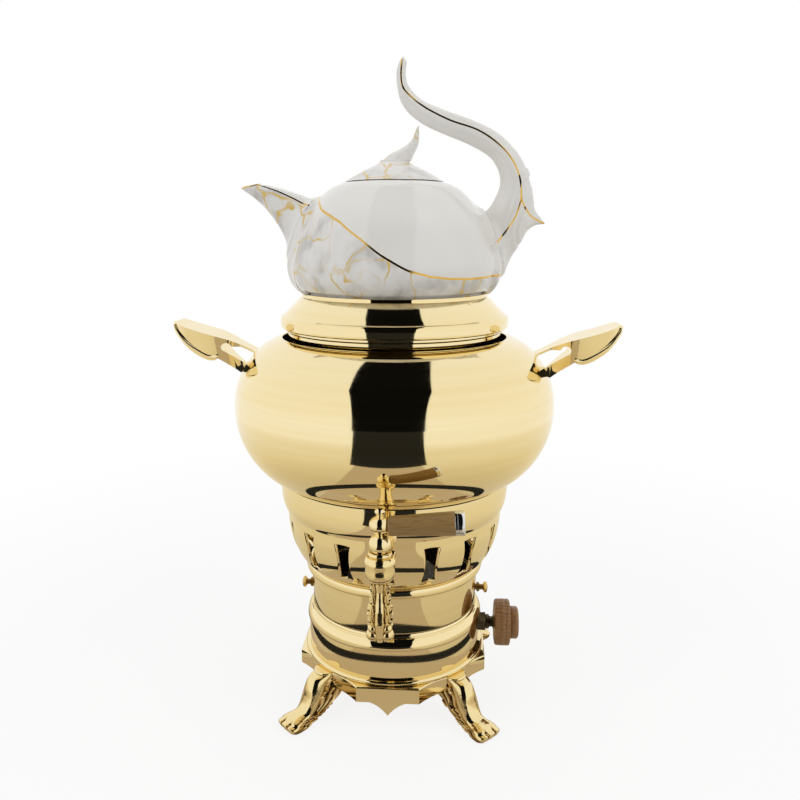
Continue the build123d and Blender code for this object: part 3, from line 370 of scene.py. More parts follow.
# Rubber, moulded: near black, matt, faintly uneven.
RUBBER = grained("rubber_moulded", (1.5, 1.5, 1.5), 3.0, [(0.3, "#141414"), (0.7, "#222222")], 0.7, 0.03)
PORCELAIN = porcelain()

finishes = {"gold_sheet": GILT, "cast_brass": CAST, "steel": STEEL, "rubber": RUBBER, "wood": KNOB_WOOD,
            "chrome": CHROME, "valve_brass": VALVE, "burner_metal": BURNER, "porcelain": PORCELAIN}
for entry in frame["record"]["subparts"]:
    node = frame["nodes"][entry["node"]]
    node.data.materials.clear()
    node.data.materials.append(finishes[entry["material_slot"]])

# ---- spun gold pieces ----
sheet_wall = 1.2
plate_top = extent("base_plate")[1]
drum_foot, drum_top, drum_radius = extent("lower_drum")
waist_foot, waist_top, waist_reach = extent("waist_drum")
waist_radius = waist_reach - 1.2
band_foot, band_top, band_reach = extent("vent_band")
cup_floor, cup_top, cup_reach = extent("tank_cup")
tank_reach = extent("tank_body")[2]
belly_height = cup_top + 56.1
_, neck_top, neck_reach = extent("neck_ring")
neck_foot = neck_top - 8.0
cover_foot, cover_top, cover_reach = extent("tank_cover")


def spun(name, outline, body="stand", loop=True):
    """Spun piece with a closed outline, which stands for the CAD node of the same name."""
    piece(name + "_skin", [spin(outline, loop=loop)], GILT, body, [name], "gold_sheet")


flange = 52.0
spun("lower_drum", rounded([(flange, drum_foot), (drum_radius, drum_foot), (drum_radius, drum_top),
                            (drum_radius - sheet_wall, drum_top),
                            (drum_radius - sheet_wall, drum_foot + sheet_wall),
                            (flange, drum_foot + sheet_wall)]))

ring_low, ring_high, ring_reach = extent("base_ring")
bead_radius = (ring_high - ring_low) / 2
bead = arc(bead_radius, bead_radius, 17) + [ring_reach - bead_radius, (ring_low + ring_high) / 2]
spun("base_ring", np.vstack([[(drum_radius + 0.05, ring_low)], bead, [(drum_radius + 0.05, ring_high)]]))

collar_foot, _, collar_reach = extent("drum_collar")
spun("drum_collar", sheet(np.vstack([
    flow([(collar_reach - 0.15, collar_foot), (collar_reach, collar_foot + 1.6),
          (collar_reach - 0.5, drum_top + 2.6), (collar_reach - 1.9, drum_top + 5.4),
          (collar_reach - 3.0, drum_top + 7.0)], 40),
    flow([(collar_reach - 3.6, drum_top + 7.1), (collar_reach - 3.9, drum_top + 7.6),
          (waist_radius + 0.9, waist_foot - 1.2), (waist_radius + 0.4, waist_foot)], 20)]), sheet_wall))

spun("waist_drum", sheet(flow([(waist_radius, waist_foot), (waist_radius + 0.35, waist_foot + 8),
                               (waist_reach - 0.35, waist_top - 8), (waist_reach, waist_top)], 24), sheet_wall))

ring_foot, _, bulge = extent("waist_ring")
ring_line = flow([(bulge - 2.4, ring_foot), (bulge - 0.5, ring_foot + 0.7), (bulge, ring_foot + 2.6),
                  (bulge - 0.5, band_foot - 1.0), (bulge - 1.4, band_foot)], 30)
spun("waist_ring",
     rounded(np.vstack([ring_line, [(waist_reach - 2.4, band_foot), (waist_reach - 2.4, ring_foot)]]), 0.3))

cup_line = flow([(band_reach, band_top), (band_reach + 1.9, band_top + 3.6), (cup_reach - 1.0, band_top + 8.6),
                 (cup_reach - 0.2, band_top + 15.7), (cup_reach, cup_top)], 60)
spun("tank_cup", np.vstack([
    [(0, cup_floor), (band_reach - 2.0, cup_floor), (band_reach - 2.0, band_top)], cup_line,
    [(cup_reach - 1.3, cup_top), (cup_reach - 1.5, band_top + 15.7), (cup_reach - 2.4, band_top + 8.6),
     (band_reach - 3.2, band_top), (band_reach - 3.2, cup_floor + sheet_wall), (0, cup_floor + sheet_wall)]]),
     loop=False)


def belly_line(steps):
    """Outer face of the tank from the cup rim to the neck: two quarter ellipses that meet at the
    widest point, with half axes 54.6 and 60.5 mm below it, 45.8 and 53 mm above it."""
    at_cup, at_neck = -asin((belly_height - cup_top) / 60.5), asin((neck_foot - belly_height) / 53.0)
    lower = arc(54.6, 60.5, steps, at_cup, 0) + [tank_reach - 54.6, belly_height]
    upper = arc(45.8, 53.0, steps, 0, at_neck) + [tank_reach - 45.8, belly_height]
    return np.vstack([lower, upper[1:]])


spun("tank_body", sheet(belly_line(70), sheet_wall))

neck_bore = 77.2
spun("neck_ring", rounded([(neck_bore, neck_foot - 1.0), (neck_bore, neck_top), (neck_reach, neck_top),
                           (neck_reach, neck_top - 3.0), (neck_reach - 1.2, neck_top - 3.6),
                           (neck_reach - 1.2, neck_top - 6.2), (neck_reach - 1.8, neck_top - 6.8),
                           (neck_reach - 1.8, neck_foot - 1.0)], 0.5))

lip_foot = neck_top - 1.0
seat = cover_top - 2.2
rim_reach = 69.1
rim_bore = 67.6
steam_bore = 48.0
spun("tank_cover", rounded(np.vstack([
    flow([(cover_reach - 1.6, lip_foot), (cover_reach - 0.3, lip_foot + 1.2), (cover_reach, lip_foot + 4.6),
          (cover_reach - 0.5, lip_foot + 8.2), (cover_reach - 2.2, lip_foot + 9.6)], 28),
    flow([(cover_reach - 2.6, lip_foot + 9.9), (cover_reach - 6.5, lip_foot + 13.4),
          (rim_reach + 2.0, cover_top - 4.2), (rim_reach, cover_top - 2.6)], 30),
    [(rim_reach, cover_top), (rim_bore, cover_top), (rim_bore, seat), (steam_bore, seat),
     (steam_bore, seat - 1.2), (rim_bore - 1.2, seat - 1.2), (cover_reach - 4.6, lip_foot + 8.0),
     (cover_reach - 4.6, neck_top + 1.5), (75.4, neck_top + 1.5), (75.4, cover_foot), (76.6, cover_foot),
     (76.6, neck_top + 0.3), (81.6, neck_top + 0.3), (81.6, lip_foot)]])), "cover")

# ---- vent band ----
def line_at(line, heights):
    """Radius of a (radius, height) line at the given heights."""
    return np.interp(heights, line[:, 1], line[:, 0])


band_height = band_top - band_foot
band_line = flow([(69.2, band_foot), (74.2, band_foot + band_height * 0.13),
                  (79.6, band_foot + band_height * 0.38), (82.7, band_foot + band_height * 0.68),
                  (band_reach, band_top)], 80)
vent_count = 16
vent_height = 27.5
vent_middle = band_top - 6.6 - vent_height / 2


def vent_sector(up, across):
    """One sixteenth of the band, between the hourglass hole and the sector's border: width from
    the sector's middle and height of the points, ring by ring from the hole outwards."""
    v = np.linspace(-1, 1, up, endpoint=False)
    h = np.linspace(-1, 1, across, endpoint=False)
    tall = vent_height / 2 * v
    side = 3.8 + 0.4 * v + 1.6 * v ** 2
    hole = np.vstack([np.stack([side, tall], -1),
                      np.stack([-6.0 * h, vent_height / 2 + 0.8 * (1 - h ** 2)], -1),
                      np.stack([-side[::-1], tall[::-1] + vent_height / up], -1),
                      np.stack([4.9 * h, -vent_height / 2 + 1.6 * (1 - np.abs(h)) ** 1.5], -1)])
    half = pi / vent_count
    low, high = band_foot - vent_middle, band_top - vent_middle
    border = np.vstack([np.stack([np.full(up, half), low + (high - low) * (v + 1) / 2], -1),
                        np.stack([-half * h, np.full(across, high)], -1),
                        np.stack([np.full(up, -half), high - (high - low) * (v + 1) / 2], -1),
                        np.stack([half * h, np.full(across, low)], -1)])
    hole[:, 0] /= line_at(band_line, vent_middle + hole[:, 1])
    share = np.array([0, 0.02, 0.045, 0.075, 0.11, 0.16, 0.24, 0.36, 0.5, 0.65, 0.82, 1.0])[:, None, None]
    return hole + (border - hole) * share, share[:, 0, 0]


def vent_band():
    """Pressed band: all sixteen sectors on the curved outer line, their holes rimmed by a lip
    that curls inwards by 1.1 (1 - distance / 0.11)^2 mm, and the same net one wall further in."""
    up, across = 26, 18
    net, share = vent_sector(up, across)
    lip = 1.1 * np.clip(1 - share / 0.11, 0, 1)[:, None] ** 2
    height = vent_middle + net[..., 1]
    outside, inside_face = [np.stack([line_at(band_line, height) - wall - lip, net[..., 0], height], -1)
                            for wall in (0.0, sheet_wall)]
    stack = np.concatenate([outside[::-1], inside_face])
    deep, around = stack.shape[:2]
    verts, quads = [], []
    for k in range(vent_count):
        turn = stack[..., 1] + 2 * pi * k / vent_count - pi / 2
        part = skin(np.stack([stack[..., 0] * np.cos(turn), stack[..., 0] * np.sin(turn), stack[..., 2]], -1))
        verts.append(part[0])
        quads.append(part[1] + len(part[0]) * k)
        for start in (up, 2 * up + across):
            here = np.arange(start, start + across)
            there = (here + 1) % around
            far = (deep - 1) * around
            quads.append(np.stack([here + far, there + far, there, here], -1) + k * deep * around)
    verts, quads = np.vstack(verts), np.vstack(quads)
    keys, index = np.unique(np.round(verts, 3), axis=0, return_inverse=True)
    quads = index.reshape(-1)[quads]
    whole = quads[(quads != np.roll(quads, 1, 1)).all(1)]
    return keys, whole, np.empty((0, 3), int)


piece("vent_band_skin", [vent_band()], GILT, "stand", ["vent_band"], "gold_sheet", crease=radians(50))

# ---- base plate ----
plate_wall = 1.5
panel = 73.5
scallop = 71.2
corner_half = 9.0
corner_reach = 79.0
skirt_foot = plate_top - 12.3
cusp_foot = skirt_foot - 10.6


def plate_edge():
    """Outline of the base plate and the height of its lower edge, all round: flat panels with a
    pointed apron whose edge is an ogee, concave scallops, and corners that are open for the legs."""
    half, apron = 23.5, 13.63
    ends = np.linspace(apron, half, 12)[1:]
    flat_x = np.concatenate([-ends[::-1], np.linspace(-apron, apron, 61), ends])
    s = np.clip(1 - np.abs(flat_x) / apron, 0, 1)
    foot = skirt_foot - (skirt_foot - cusp_foot) * (0.42 * s + 0.58 * s ** 2.2) * (s > 0)
    flat = np.stack([np.full(len(flat_x), panel), flat_x], -1)
    root = sqrt(scallop ** 2 - corner_half ** 2)
    lobe = np.array([(root + corner_half) / sqrt(2), (root - corner_half) / sqrt(2)])
    corner = np.array([panel, half])
    mid = scallop * np.array([cos(radians(27.5)), sin(radians(27.5))])
    t = np.linspace(0, 1, 30)[1:-1, None]
    pull = 2 * mid - 0.5 * (corner + lobe)
    curve = (1 - t) ** 2 * corner + 2 * t * (1 - t) * pull + t ** 2 * lobe
    tip = arc(corner_half, corner_half, 25) + [corner_reach - corner_half, 0]
    tip = np.vstack([[(root, -corner_half)], tip, [(root, corner_half)]])
    tip = tip @ np.array([[1, 1], [-1, 1]]) / sqrt(2)
    quarter = np.vstack([flat, curve, tip, curve[::-1, ::-1]])
    low = np.concatenate([foot, np.full(len(curve), skirt_foot),
                          np.full(len(tip), plate_top - plate_wall - 0.02), np.full(len(curve), skirt_foot)])
    low[len(flat) + len(curve)] = low[len(flat) + len(curve) + len(tip) - 1] = skirt_foot
    points = [quarter @ np.array([[cos(a), sin(a)], [-sin(a), cos(a)]]) for a in np.arange(4) * pi / 2]
    return np.vstack(points), np.tile(low, 4)


def drawn_in(outline, depth):
    """A closed plan outline moved inwards, square to itself."""
    return outline + depth * leftward(np.roll(outline, -1, 0) - np.roll(outline, 1, 0))


def base_plate():
    """Pressed plate with its skirt: down over the edge, under it and back below the top."""
    outline, low = plate_edge()
    under = np.full(len(low), plate_top - plate_wall)
    inner = drawn_in(outline, plate_wall)
    rings = [(inner * share, under) for share in (0.2, 0.5, 0.8, 0.97, 1.0)]
    rings += [(inner, low + 0.15), (drawn_in(outline, plate_wall - 0.25), low), (drawn_in(outline, 0.25), low),
              (outline, low + 0.25)]
    rings += [(drawn_in(outline, depth), np.full(len(low), plate_top - drop))
              for depth, drop in ((0.0, 1.1), (0.08, 0.6), (0.32, 0.25), (0.7, 0.06), (1.2, 0.0))]
    rings += [(drawn_in(outline, 1.2) * share, np.full(len(low), plate_top))
              for share in (0.94, 0.7, 0.4, 0.15)]
    return skin(np.array([np.column_stack(ring) for ring in rings]), (True, True))


piece("base_plate_skin", [base_plate()], GILT, "stand", ["base_plate"], "gold_sheet", crease=radians(30))

# ---- lion legs ----
stations = 150
leg_outer = flow([(78.5, 35.4), (84.5, 33.0), (87.8, 27), (90, 20), (92.4, 14.3), (95.5, 10.2), (99.5, 9.3),
                  (103.8, 8.4), (107.2, 6.4), (109.0, 4.0), (109.0, 2.0)], stations)
leg_inner = flow([(48, 35.4), (50.5, 25), (57.5, 16), (65.5, 10.8), (71.5, 6.8), (78.2, 3.2), (84.4, 1.0),
                  (90.2, -0.2), (96, -0.6), (102.5, -0.6), (106.0, -0.6)], stations)
leg_half = flow([[half] for half in (9, 9, 9.6, 10, 9.4, 8.8, 9.2, 10.6, 11.4, 10.8, 7.8)], stations)[:, 0]


def smooth_step(value, low, high):
    """0 below low, 1 above high, a smooth cubic 3t^2 - 2t^3 between."""
    t = np.clip((value - low) / (high - low), 0, 1)
    return t * t * (3 - 2 * t)


def lion_leg():
    """One leg along +X. Its sections are superellipses |a|^2.6 + |b|^2.6 = 1 between the outer
    and the inner line. Overlapping locks of hair cover the sides and the back: each lock is a
    sawtooth along the leg, cut into strands by |sin| waves across it. Two grooves part three toes.
    Painted shade darkens the gaps between strands, the recessed end of each lock and the toe grooves."""
    turn, a, b = superellipse(120, 2.6)
    middle, reach = (leg_outer + leg_inner) / 2, (leg_outer - leg_inner) / 2
    along = np.concatenate([[0], np.cumsum(np.linalg.norm(np.diff(middle, axis=0), axis=1))])[:, None]
    paw = smooth_step(along, 47, 54)
    knee = smooth_step(along, 1.0, 6.0)
    hair = smooth_step(-a, -0.62, -0.25) * (1 - paw) * knee
    lean = 0.10 * along + 1.3 * np.abs(b) + 0.9 * np.sin(2.5 * turn + 0.21 * along)
    lock = lean - np.floor(lean)
    strand = np.abs(np.sin(8.5 * turn + 0.35 * np.sin(0.5 * along + 3 * turn)))
    relief = hair * (1.5 * (0.5 - lock) + 1.2 * (strand - 0.7))
    groove = np.abs(np.sin(1.5 * pi * (b + 1)))
    toes = paw * smooth_step(a, -0.2, 0.5) * (0.9 - 1.7 * (1 - groove) ** 3)
    knuckle = paw * smooth_step(a, 0.0, 0.6) * 0.9 * np.sin(0.75 * (along - 54)) * smooth_step(-along, -66, -56)
    grown = 1 + (relief + toes + knuckle) / np.maximum(np.linalg.norm(reach, axis=1)[:, None], 5)
    x = middle[:, :1] + reach[:, :1] * a * grown
    z = np.maximum(middle[:, 1:] + reach[:, 1:] * a * grown, 0.0)
    y = (leg_half[:, None] + relief - 0.5 * hair) * b
    rings = np.stack([x, y, z], -1)
    # painted shade: dark between strands, at the recessed end of each lock and in the toe grooves
    painted_shade = np.clip(hair * (0.8 - strand) * 2.0 + hair * lock * 0.55 + paw * (groove < 0.22) * 0.8, 0, 1)
    return skin(rings, (True, True)), np.append(painted_shade.reshape(-1), [0.3, 0.3])


def claw(reach, side):
    """Small bent cone at the front of a toe: its sections shrink by 1 - t^1.6 to the point."""
    t = np.linspace(0, 1, 12)[:, None]
    turn = all_round(20)
    radius = 1.75 * (1 - t ** 1.6) + 0.04
    x = reach + 3.3 * np.sin(1.3 * t) + 0 * turn
    z = np.maximum(3.4 - 2.6 * t ** 1.7 + radius * np.sin(turn), 0)
    return skin(np.stack([x, side + radius * np.cos(turn), z], -1), (True, True))


leg_skin, leg_painted_shade = lion_leg()
claws = [claw(105.6, 0.0), claw(104.2, -6.0), claw(104.2, 6.0)]
for name, angle in (("back_right", 45), ("back_left", 135), ("front_left", 225), ("front_right", 315)):
    about = Matrix.Rotation(radians(angle), 4, "Z")
    # painted shade on the legs, and a little on the claws
    piece("leg_" + name + "_cast", [moved(part, about) for part in [leg_skin] + claws], CAST, "stand",
          ["leg_" + name], "cast_brass", crease=radians(60),
          values={"painted_shade": [leg_painted_shade] + [0.15] * len(claws)})

# ---- teapot ----
pot_foot, pot_rim, _ = extent("teapot")
pot_line = flow([(67.2, 2.9), (70.8, 5.2), (74.4, 10.5), (76.4, 17.8), (76.2, 24.8), (72.1, 39.8), (68.2, 50.5),
                 (62.8, 59.1), (55.3, 68.3), (47.8, 75.3), (40.5, 79.1), (36.0, 80.3)], 80) + [0, pot_foot]
pot_inside = [(33.4, 80.4), (32.0, 79.6), (31.8, 76.6), (36.5, 75.3), (45.2, 71.8), (52.4, 64.9), (59.3, 56.4),
              (68.0, 38.6), (71.9, 24.8), (72.1, 17.9), (70.2, 12.1), (66.5, 7.8), (62.0, 6.0), (0.0, 6.0)]
pot_under = [(0.0, 1.6), (60.6, 1.6), (62.2, 0.2), (63.0, 0.0), (66.0, 0.0), (66.5, 0.5), (66.5, 2.6)]


def section_grid(stations, around, power):
    """Rings of a bent limb. A station is the lower and the upper edge point in the middle plane
    and half the depth: its ring is a superellipse |a|^p + |b|^p = 1 between the two points."""
    turn, a, b = superellipse(around, power)
    low, high, depth = stations[:, None, 0:2], stations[:, None, 2:4], stations[:, None, 4]
    flat = (low + high) / 2 + (high - low) / 2 * a[None, :, None]
    return np.stack([flat[..., 0], depth * b, flat[..., 1]], -1), turn


def pushed_out(points, line, depth):
    """Points nearer to the Z axis than a turned surface less a depth, moved out to it, below the
    top of that surface."""
    limit = np.where(points[..., 2] < line[-1, 1] - 2, line_at(line, points[..., 2]) - depth, 0)
    reach = np.hypot(points[..., 0], points[..., 1])
    grow = np.maximum(1, limit / np.maximum(reach, 0.1))
    return points * np.stack([grow, grow, np.ones_like(grow)], -1)


def point_normals(part):
    """Outward direction at each point: the mean of the faces round it."""
    verts, quads, tris = part
    total = np.zeros_like(verts)
    for faces in (quads, tris):
        if len(faces):
            square = np.cross(verts[faces[:, 2]] - verts[faces[:, 0]], verts[faces[:, -1]] - verts[faces[:, 1]])
            for k in range(faces.shape[1]):
                np.add.at(total, faces[:, k], square)
    return unit(total)


def gap_to(points, other):
    """Distance of points from another part, below 0 inside it: along the normal of its nearest
    point. Points over a margin away from the part's box count as far, and so does the part
    itself away from the box of the points."""
    margin, far_off = 8.0, 99.0
    cloud, square = other[0], point_normals(other)
    close = ((cloud > points.min(0) - margin) & (cloud < points.max(0) + margin)).all(1)
    cloud, square = cloud[close][::2], square[close][::2]
    far = ((points < cloud.min(0) - margin) | (points > cloud.max(0) + margin)).any(1)
    gap = np.full(len(points), far_off)
    weight = (cloud ** 2).sum(1)
    for part in np.array_split(np.flatnonzero(~far), max(1, int((~far).sum()) // 500)):
        nearest = (weight - 2 * points[part] @ cloud.T).argmin(1)
        gap[part] = ((points[part] - cloud[nearest]) * square[nearest]).sum(-1)
    return gap


def blended(part, gap, fillet, free=1.0):
    """The part swollen near its neighbour, so that both meet in a fillet. At a gap s the rise u
    solves u = f / 4 (1 - (s - u) / f)^2, which is a smooth minimum of the two distances. Where
    free is 0, nothing moves."""
    gap = np.maximum(gap, 0)
    rise = np.zeros_like(gap)
    for _ in range(40):
        rise = fillet / 4 * np.clip(1 - (gap - rise) / fillet, 0, 1) ** 2
    return part[0] + point_normals(part) * (rise * free)[:, None], part[1], part[2]


def beside(points, track, side=1.0):
    """Distance of (x, z) points from a track of (x, z) points, signed by the side."""
    track = flow(track, 160)
    a, step = track[:-1], np.diff(track, axis=0)
    t = np.clip(((points[:, None] - a) * step).sum(-1) / (step ** 2).sum(-1), 0, 1)
    away = points[:, None] - (a + t[..., None] * step)
    length = np.linalg.norm(away, axis=-1)
    pick = length.argmin(1)
    rows = np.arange(len(points))
    turn = step[pick, 0] * away[rows, pick, 1] - step[pick, 1] * away[rows, pick, 0]
    return side * np.sign(turn) * length[rows, pick]


pot_outline = np.vstack([np.array(pot_under) + [0, pot_foot], pot_line, np.array(pot_inside) + [0, pot_foot]])
pot_body = facing_out(spin(pot_outline, loop=False))
limb_depth = 2.4            # mm that spout and handle reach into the pot's wall
beak_round, beak_power, grip_power = 72, 2.1, 1.75
beak = flow([(-62, 320, -34, 366, 25), (-74, 330, -44, 380, 23), (-77.4, 345, -52, 385, 19.5),
             (-79.5, 355, -59, 388.3, 16.2), (-83, 364.5, -66.5, 391.4, 13.4), (-88, 372.8, -75, 394.4, 11.2),
             (-94.5, 381.4, -83.5, 397.0, 9.2), (-101.6, 388.2, -90.5, 398.6, 7.4),
             (-107.6, 392.8, -95, 399.5, 6.0), (-113.4, 396.8, -98.2, 399.8, 4.9)], 130)
beak_rings, beak_turn = section_grid(beak, beak_round, beak_power)
across = beak[:, 2:4] - beak[:, 0:2]
tall = np.linalg.norm(across, axis=1, keepdims=True)
beak_wall = 2.0
bore = beak + np.hstack([across / tall, -across / tall, -np.ones_like(tall)]) * beak_wall
bore_rings = section_grid(bore, beak_round, beak_power)[0]
lip_rings = np.stack([beak_rings[-1] * (1 - t) + bore_rings[-1] * t + [0, 0, 0.75 * sin(pi * t)]
                      for t in (0.25, 0.5, 0.75)])
spout_rings = pushed_out(np.concatenate([beak_rings, lip_rings, bore_rings[::-1]]), pot_line, limb_depth)
pot_spout = facing_out(skin(spout_rings, loop=True))
outer_count = len(beak_rings) * beak_round
spout_free = (np.arange(len(pot_spout[0])) < outer_count).astype(float)

grip = flow([(50, 356, 64, 326, 12), (58, 366, 76, 334, 10.6), (66.5, 377, 86, 347.5, 9.4),
             (71.8, 387.5, 92.4, 364, 8.6), (75.3, 395, 98.4, 383, 8.0), (76.2, 402, 98, 398, 7.4),
             (74.2, 409.8, 94.4, 410.5, 6.9), (68, 418.2, 87, 422.3, 6.4), (54.4, 426.1, 73.5, 434.6, 5.8),
             (38.5, 432.6, 55, 443.6, 5.4),
             (22.5, 439.6, 35.4, 450.4, 5.0), (10.5, 448, 20, 457, 4.6), (4.2, 457, 12.2, 463.8, 4.2),
             (1.8, 467.5, 8.8, 469.4, 3.6), (1.4, 476, 8.0, 476.0, 2.9), (3.4, 482.4, 8.6, 482.0, 1.8),
             (6.0, 485.9, 6.6, 485.8, 0.3)], 150)
spur = flow([(78, 352, 92, 402, 6.6), (86, 353.5, 98.2, 394, 6.8), (91.4, 358.6, 99.6, 388, 6.4),
             (96.2, 365.6, 101.6, 382, 4.8), (102.2, 370.2, 105.0, 377.2, 2.6),
             (109.0, 371.4, 109.3, 372.0, 0.3)], 60)
grip_part = facing_out(skin(pushed_out(section_grid(grip, 64, grip_power)[0], pot_line, limb_depth),
                            (True, True)))
spur_part = facing_out(skin(section_grid(spur, 48, grip_power)[0], (True, True)))
grip_part = blended(grip_part, gap_to(grip_part[0], pot_body), 12.0)
handle_part = blended(grip_part, gap_to(grip_part[0], spur_part), 5.0)
spur_part = blended(spur_part, gap_to(spur_part[0], grip_part), 5.0)

station = np.append(np.repeat(np.arange(len(pot_outline)), ROUND), [0, 0])
outside = len(pot_under) + len(pot_line)
pot_free = ((station >= len(pot_under)) & (station < outside - 6)).astype(float)
spout_gap = gap_to(pot_spout[0], pot_body)
pot_body = blended(pot_body, gap_to(pot_body[0], facing_out(skin(beak_rings, (True, True)))), 10.0, pot_free)
pot_body = blended(pot_body, gap_to(pot_body[0], grip_part), 12.0, pot_free)
pot_spout = blended(pot_spout, spout_gap, 10.0, spout_free)

line_turn = np.array([-180, -160, -150, -139.5, -128, -118.5, -104.3, -93.2, -83.3, -79.4, -68.3, -57,
                      -43.6, -20.7, 0])
line_rise = np.array([73, 68.0, 64.8, 60.3, 56.3, 52.1, 41.2, 31.1, 23.6, 21.0, 17.0, 15.3, 14.6, 15.2, 15.6])


def pot_marks(points):
    """Height over the gold line that runs round the pot, the same on both sides."""
    turn = -np.abs(np.degrees(np.arctan2(points[:, 1], points[:, 0])))
    smooth = np.interp(turn, line_turn, line_rise)
    return (points[:, 2] - pot_foot - smooth) * 0.8


def glazed(name, parts, body, node, marks):
    """Porcelain object; marks holds the line, the fork and the print of each part in turn."""
    piece(name, parts, PORCELAIN, body, [node], "porcelain", crease=radians(50),
          values=dict(zip(("line", "fork", "print"), zip(*marks))))


FAR = 30.0                  # mm from a gold line where none is near
pot_over = np.where(station >= outside, FAR, pot_marks(pot_body[0]))
pot_over[-2:] = FAR
glazed("teapot_body_cast", [pot_body], "pot", "teapot", [(pot_over, FAR, np.clip(0.5 - pot_over, 0, 1))])

edge_turn = np.where(beak_turn > pi, 2 * pi - beak_turn, beak_turn)
swing = np.hypot(tall / 2 * np.sin(edge_turn), beak[:, 4:5] * np.cos(edge_turn))
spout_line = np.full(len(pot_spout[0]), FAR)
spout_line[:outer_count] = ((radians(46) - edge_turn) * swing).reshape(-1)
spout_fork = np.full(len(pot_spout[0]), FAR)
spout_fork[:outer_count] = np.linalg.norm(beak_rings - beak_rings[-1:], axis=-1).reshape(-1)
spout_fork[outer_count:outer_count + len(lip_rings) * beak_round] = 0
glazed("teapot_spout_cast", [pot_spout], "pot", "teapot_spout",
       [(spout_line, spout_fork, np.clip(0.5 - spout_line, 0, 1))])

grip_track = [(5.2, 484.0), (4.9, 476.2), (5.7, 466.4), (11.3, 459.7), (21.9, 451.6), (39.6, 442.8),
              (60.9, 435.3), (78.8, 422.3), (88.4, 407.3), (91.1, 391.5), (88.8, 380.0), (84, 370.6),
              (75, 358.6)]
spur_track = [(91.1, 392.0), (92.6, 385.5), (98.0, 377.6), (105.3, 373.2), (108.6, 371.9)]
glazed("teapot_handle_cast", [handle_part, spur_part], "pot", "teapot_handle",
       [(beside(part[0][:, [0, 2]], grip_track), beside(part[0][:, [0, 2]], spur_track), 0.0)
        for part in (handle_part, spur_part)])

lid_base = pot_rim + 0.3
dome = flow([(35.9, 0.0), (34.6, 1.0), (30, 3.8), (26, 6.0), (22, 8.1), (17, 10.5), (13.2, 12.2), (11.2, 13.4),
             (10.6, 14.4)], 60)
lid_outline = np.vstack([[(0, 9.6), (6, 9.2), (14, 7.6), (24, 3.6), (24.6, -3.0), (28.0, -3.0),
                          (31.4, 0.0)], dome,
                         [(10.2, 15.0), (0, 15.3)]]) + [0, lid_base]
lid_dome = facing_out(spin(lid_outline, 192, loop=False))
flame = flow([(-9.6, 12.6, 10.0, 13.6, 9.8), (-8.6, 14.2, 11.2, 14.2, 9.8), (-7.2, 16.2, 12.3, 15.2, 9.4),
              (-3.6, 19.2, 13.8, 18.6, 8.0), (3.6, 22.8, 15.8, 22.4, 6.0), (9.4, 26.2, 17.2, 26.2, 4.3),
              (13.0, 30.0, 17.7, 29.8, 3.0), (14.6, 34.2, 17.8, 34.2, 2.0), (16.8, 38.7, 17.4, 38.7, 0.4)], 90)
flame[:, [1, 3]] += lid_base
flame_rings, flame_turn = section_grid(flame, 64, 1.9)
flame_part = facing_out(skin(flame_rings, (True, True)))
edge_turn = np.minimum(flame_turn, 2 * pi - flame_turn)
flame_line = ((pi - radians(28) - edge_turn) * np.maximum(flame[:, 4:5], 1.4)).reshape(-1)
glazed("teapot_lid_cast", [lid_dome, flame_part], "lid", "teapot_lid",
       [(FAR, FAR, 1.0), (np.append(flame_line, [FAR, 0.0]), FAR, 0.6)])

# ---- water tap ----
tap_front = -130.0
tap_level = band_top + 7.3
housing_top = tap_level + 4.1
ring_top = housing_top + 3.0
outlet = extent("tap_body")[0]
cup_face = 88.4


def lathe(profile, start, direction, around=SMALL_ROUND):
    """Turned piece: (distance, radius) points of its outer line, laid along a direction."""
    line = np.array(profile, float)[:, ::-1]
    return laid_along(spin(line, around, loop=False), start, direction)


def foliage(rise, turn):
    """Relief of a leafy casting and the shade painted into it: rows of pointed leaves, each a sawtooth
    up the piece whose tip lies in the middle of the leaf, with veins as |sin| waves across; the
    painted shade is darkest between the veins and at the low end of each leaf."""
    row = rise / 6.2 + 0.9 * np.abs(np.sin(2.0 * turn))
    lock = row - np.floor(row)
    vein = np.abs(np.sin(9.0 * turn + 0.25 * rise))
    relief = lock - 0.45 + 0.7 * (vein - 0.65)
    return relief, np.clip((0.55 - vein) * 1.5 + (0.35 - lock) * 1.2, 0, 1)


def tap_spout():
    """Downward spout: level ovals whose half width follows the profile, leafy on its sides, with
    a smooth raised spine in front and behind, 24 degrees to each side, between two grooves.
    Shade is painted into the leaves and the grooves."""
    rise = np.linspace(0, 1, 150)[:, None]
    turn = all_round(144)
    half = np.interp(rise, [0, 0.07, 0.16, 0.3, 0.5, 0.66, 0.8, 0.92, 1],
                     [5.0, 6.4, 7.0, 7.9, 7.7, 6.4, 5.6, 6.3, 6.6])
    off = np.minimum(np.abs((turn - pi / 2) % (2 * pi) - pi), np.abs((turn + pi / 2) % (2 * pi) - pi))
    spine = 1 - smooth_step(off, radians(17), radians(25)) * np.ones_like(rise)
    leaf = (1 - spine) * smooth_step(rise, 0.08, 0.14)
    relief, painted_shade = foliage(42 * rise, turn)
    groove = np.exp(-((off - radians(25)) / radians(4)) ** 2)
    radius = half + leaf * relief + 0.5 * spine * (1 - off / radians(25)) - 0.5 * groove
    z = outlet + (tap_level - 10.5 - outlet) * rise + 0 * turn
    rings = np.stack([radius * np.cos(turn), tap_front + 0.92 * radius * np.sin(turn), z], -1)
    # painted shade in the leaves and the grooves
    return skin(rings, (True, True)), np.append(np.clip(leaf * painted_shade + groove * 0.9, 0, 1).reshape(-1),
                                                [0.9, 0.2])


def turned(name, parts, material, body, slot, **extra):
    """Turned piece that stands for the CAD node of the same name."""
    piece(name + "_turned", parts, material, body, [name], slot, **extra)


